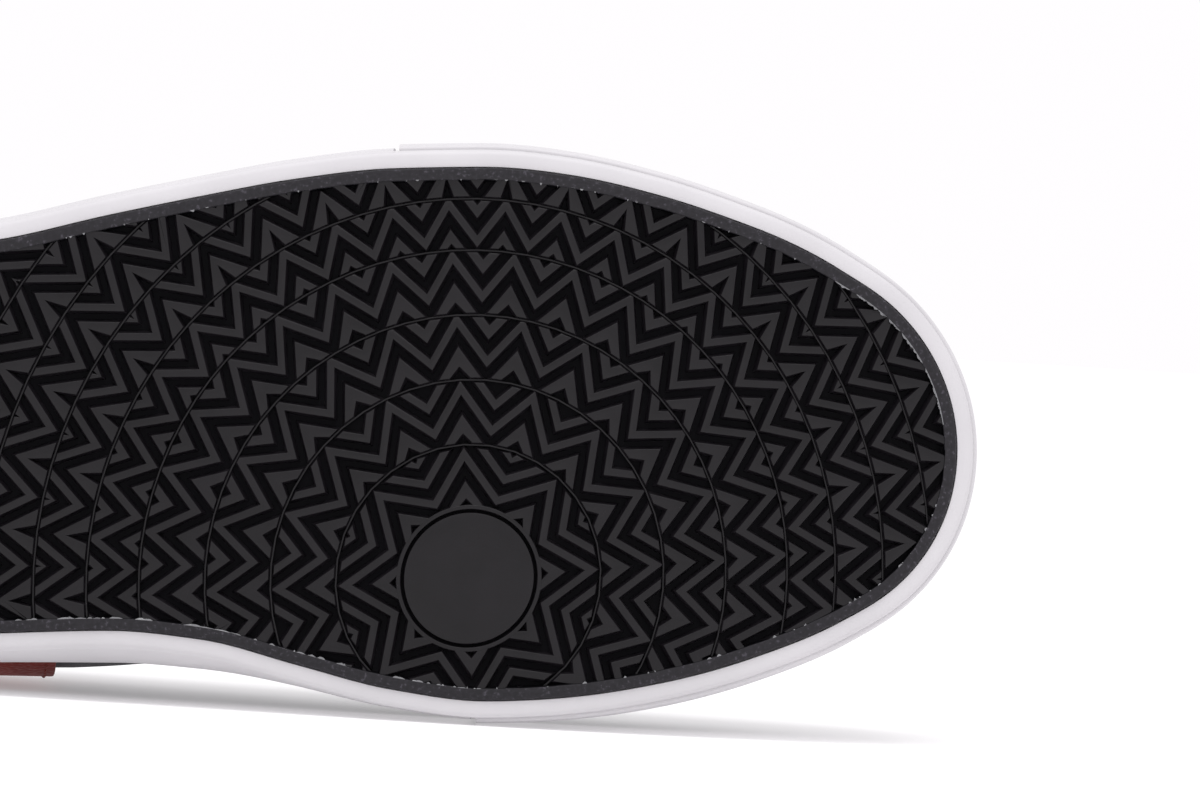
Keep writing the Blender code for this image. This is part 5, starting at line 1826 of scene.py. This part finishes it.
def ribbon(name, rows):
    """A flat cord through rows of place, up, width and thickness, with a UV map in metres."""
    rings, walked = [], [0.0]
    places = [row[0] for row in rows]
    turns = evenly(0.0, 2 * math.pi, LACE_AROUND)
    for i, (p, up, width, thick) in enumerate(rows):
        run = run_at(places, i)
        side = run.cross(up).normalized()
        high = side.cross(run).normalized()
        ring = []
        for turn in turns:
            c, s = math.cos(turn), math.sin(turn)
            flat = width / 2 * math.copysign(abs(c) ** 0.55, c)
            ring.append(p + side * flat + high * (thick / 2 * math.copysign(abs(s) ** 0.8, s)))
        rings.append(ring)
        if i:
            walked.append(walked[-1] + (p - places[i - 1]).length)
    piece = sheet_of(name, rings)
    lay = piece.data.uv_layers[0]
    lay.name = "lay"
    for loop in piece.data.loops:
        row, column = divmod(loop.vertex_index, LACE_AROUND + 1)
        lay.data[loop.index].uv = (LACE_WIDTH / 2 * math.cos(turns[column]), walked[row])
    return piece


def make_lace():
    pieces = []
    for index in range(EYELETS - 1, 0, -1):
        for side, other in (("lateral", "medial"), ("medial", "lateral")):
            rows = lace_run((side, index), (other, index - 1))
            if side == "medial":
                p, up, width, thick = rows[LACE_MIDDLE]
                rows[LACE_MIDDLE] = (p + up * LACE_THICK * 1.05, up, width, thick)
            if index == 1:
                at, up = rows[-1][:2]
                rows.append((at + eyelet_spot(other, 0)[1] * 0.0030, up, 0.0032, 0.0021))
            pieces.append(ribbon(f"run_{len(pieces)}", smooth_through(rows, LACE_STEPS)))
    pieces.append(ribbon("toe_bar", smooth_through(lace_bar(), LACE_STEPS)))
    lace = joined("lace_cord", pieces)
    close_seams(lace, 1e-6)
    finish_piece(lace, CORD, ["lace"], 60)


# Floor, light and camera


CAMERA_AWAY = 1.5
CAMERA_TO_TOE = 0.66  # degrees off square to the sole
CAMERA_TO_FLOOR = 1.27
VIEW_WIDTH = 0.22275  # metres of the tread's plane across the picture
AIM_X = 0.22584
AIM_Y = -0.00904
SENSOR = 36

FLOOR_REACH = 30.0
# The floor's glow is painted light: it lifts the shadow under the shoe.
FLOOR_GLOW = 0.29
ROOM_TINT = (1, 0.985, 1, 1)
LIGHT_PLACE = Vector((0.05, -0.55, 1.38))
LIGHT_AIM = Vector((0.05, -0.05, 0.03))
LIGHT_SIZE = (1.1, 0.7)
LIGHT_POWER = 9.5


def make_floor():
    """A wide pale floor, bright enough to run into the background. It also glows a little: painted light that
    lightens the shadow under the shoe and lights the shoe's lower side.
    """
    deselect_all()
    bpy.ops.mesh.primitive_plane_add(size=1)
    floor = bpy.context.object
    floor.name = "floor"
    floor.data.transform(Matrix.Scale(FLOOR_REACH, 4))
    made, tree, shader = new_material("pale_floor", (0.76, 0.755, 0.76), 0.9)
    feed(tree, shader, {}, Specular_IOR_Level=0.0, Emission_Color=ROOM_TINT, Emission_Strength=FLOOR_GLOW)
    floor.data.materials.append(made)


def make_lights():
    world = bpy.data.worlds.new("studio")
    bpy.context.scene.world = world
    world.use_nodes = True
    feed(world.node_tree, world.node_tree.nodes["Background"], {}, Color=ROOM_TINT, Strength=1.0)
    deselect_all()
    bpy.ops.object.light_add(type="AREA", location=LIGHT_PLACE)
    light = bpy.context.object
    light.name = "softbox_above"
    light.data.shape = "RECTANGLE"
    light.data.size, light.data.size_y = LIGHT_SIZE
    light.data.energy = LIGHT_POWER
    light.rotation_mode = "QUATERNION"
    light.rotation_quaternion = (LIGHT_AIM - LIGHT_PLACE).to_track_quat("-Z", "Y")


def make_camera():
    aim = LYING @ Vector((AIM_X, AIM_Y, ground(AIM_X)))
    toeward, floorward = math.radians(CAMERA_TO_TOE), math.radians(CAMERA_TO_FLOOR)
    standing = Vector((math.sin(toeward), math.sin(floorward), -math.cos(toeward) * math.cos(floorward)))
    back = (LYING.to_3x3() @ standing).normalized()
    up = LYING.to_3x3() @ Vector((0, -1, 0))
    right = up.cross(back).normalized()
    up = back.cross(right).normalized()
    deselect_all()
    bpy.ops.object.camera_add()
    camera = bpy.context.object
    camera.name = "camera"
    turn = Matrix((right, up, back)).transposed()
    camera.rotation_mode = "QUATERNION"
    camera.rotation_quaternion = turn.to_quaternion()
    camera.location = aim + back * CAMERA_AWAY
    camera.data.sensor_width = SENSOR
    camera.data.lens = SENSOR * CAMERA_AWAY / VIEW_WIDTH
    camera.data.clip_start = 0.05
    camera.data.clip_end = 20
    bpy.context.scene.camera = camera


make_camera()
make_outsole_body()
make_tread()
make_disc()
make_flash()
make_foxing()
make_toe_strip()
make_upper()
make_eyestay()
for band_side in SIGN:
    make_side_band(band_side)
make_heel_counter()
make_stitches()
make_footbed()
make_tongue()
for eyelet_side in SIGN:
    for eyelet_index in range(EYELETS):
        make_eyelet(eyelet_side, eyelet_index)
make_lace()
make_floor()
make_lights()
bpy.context.scene.view_settings.view_transform = "Standard"
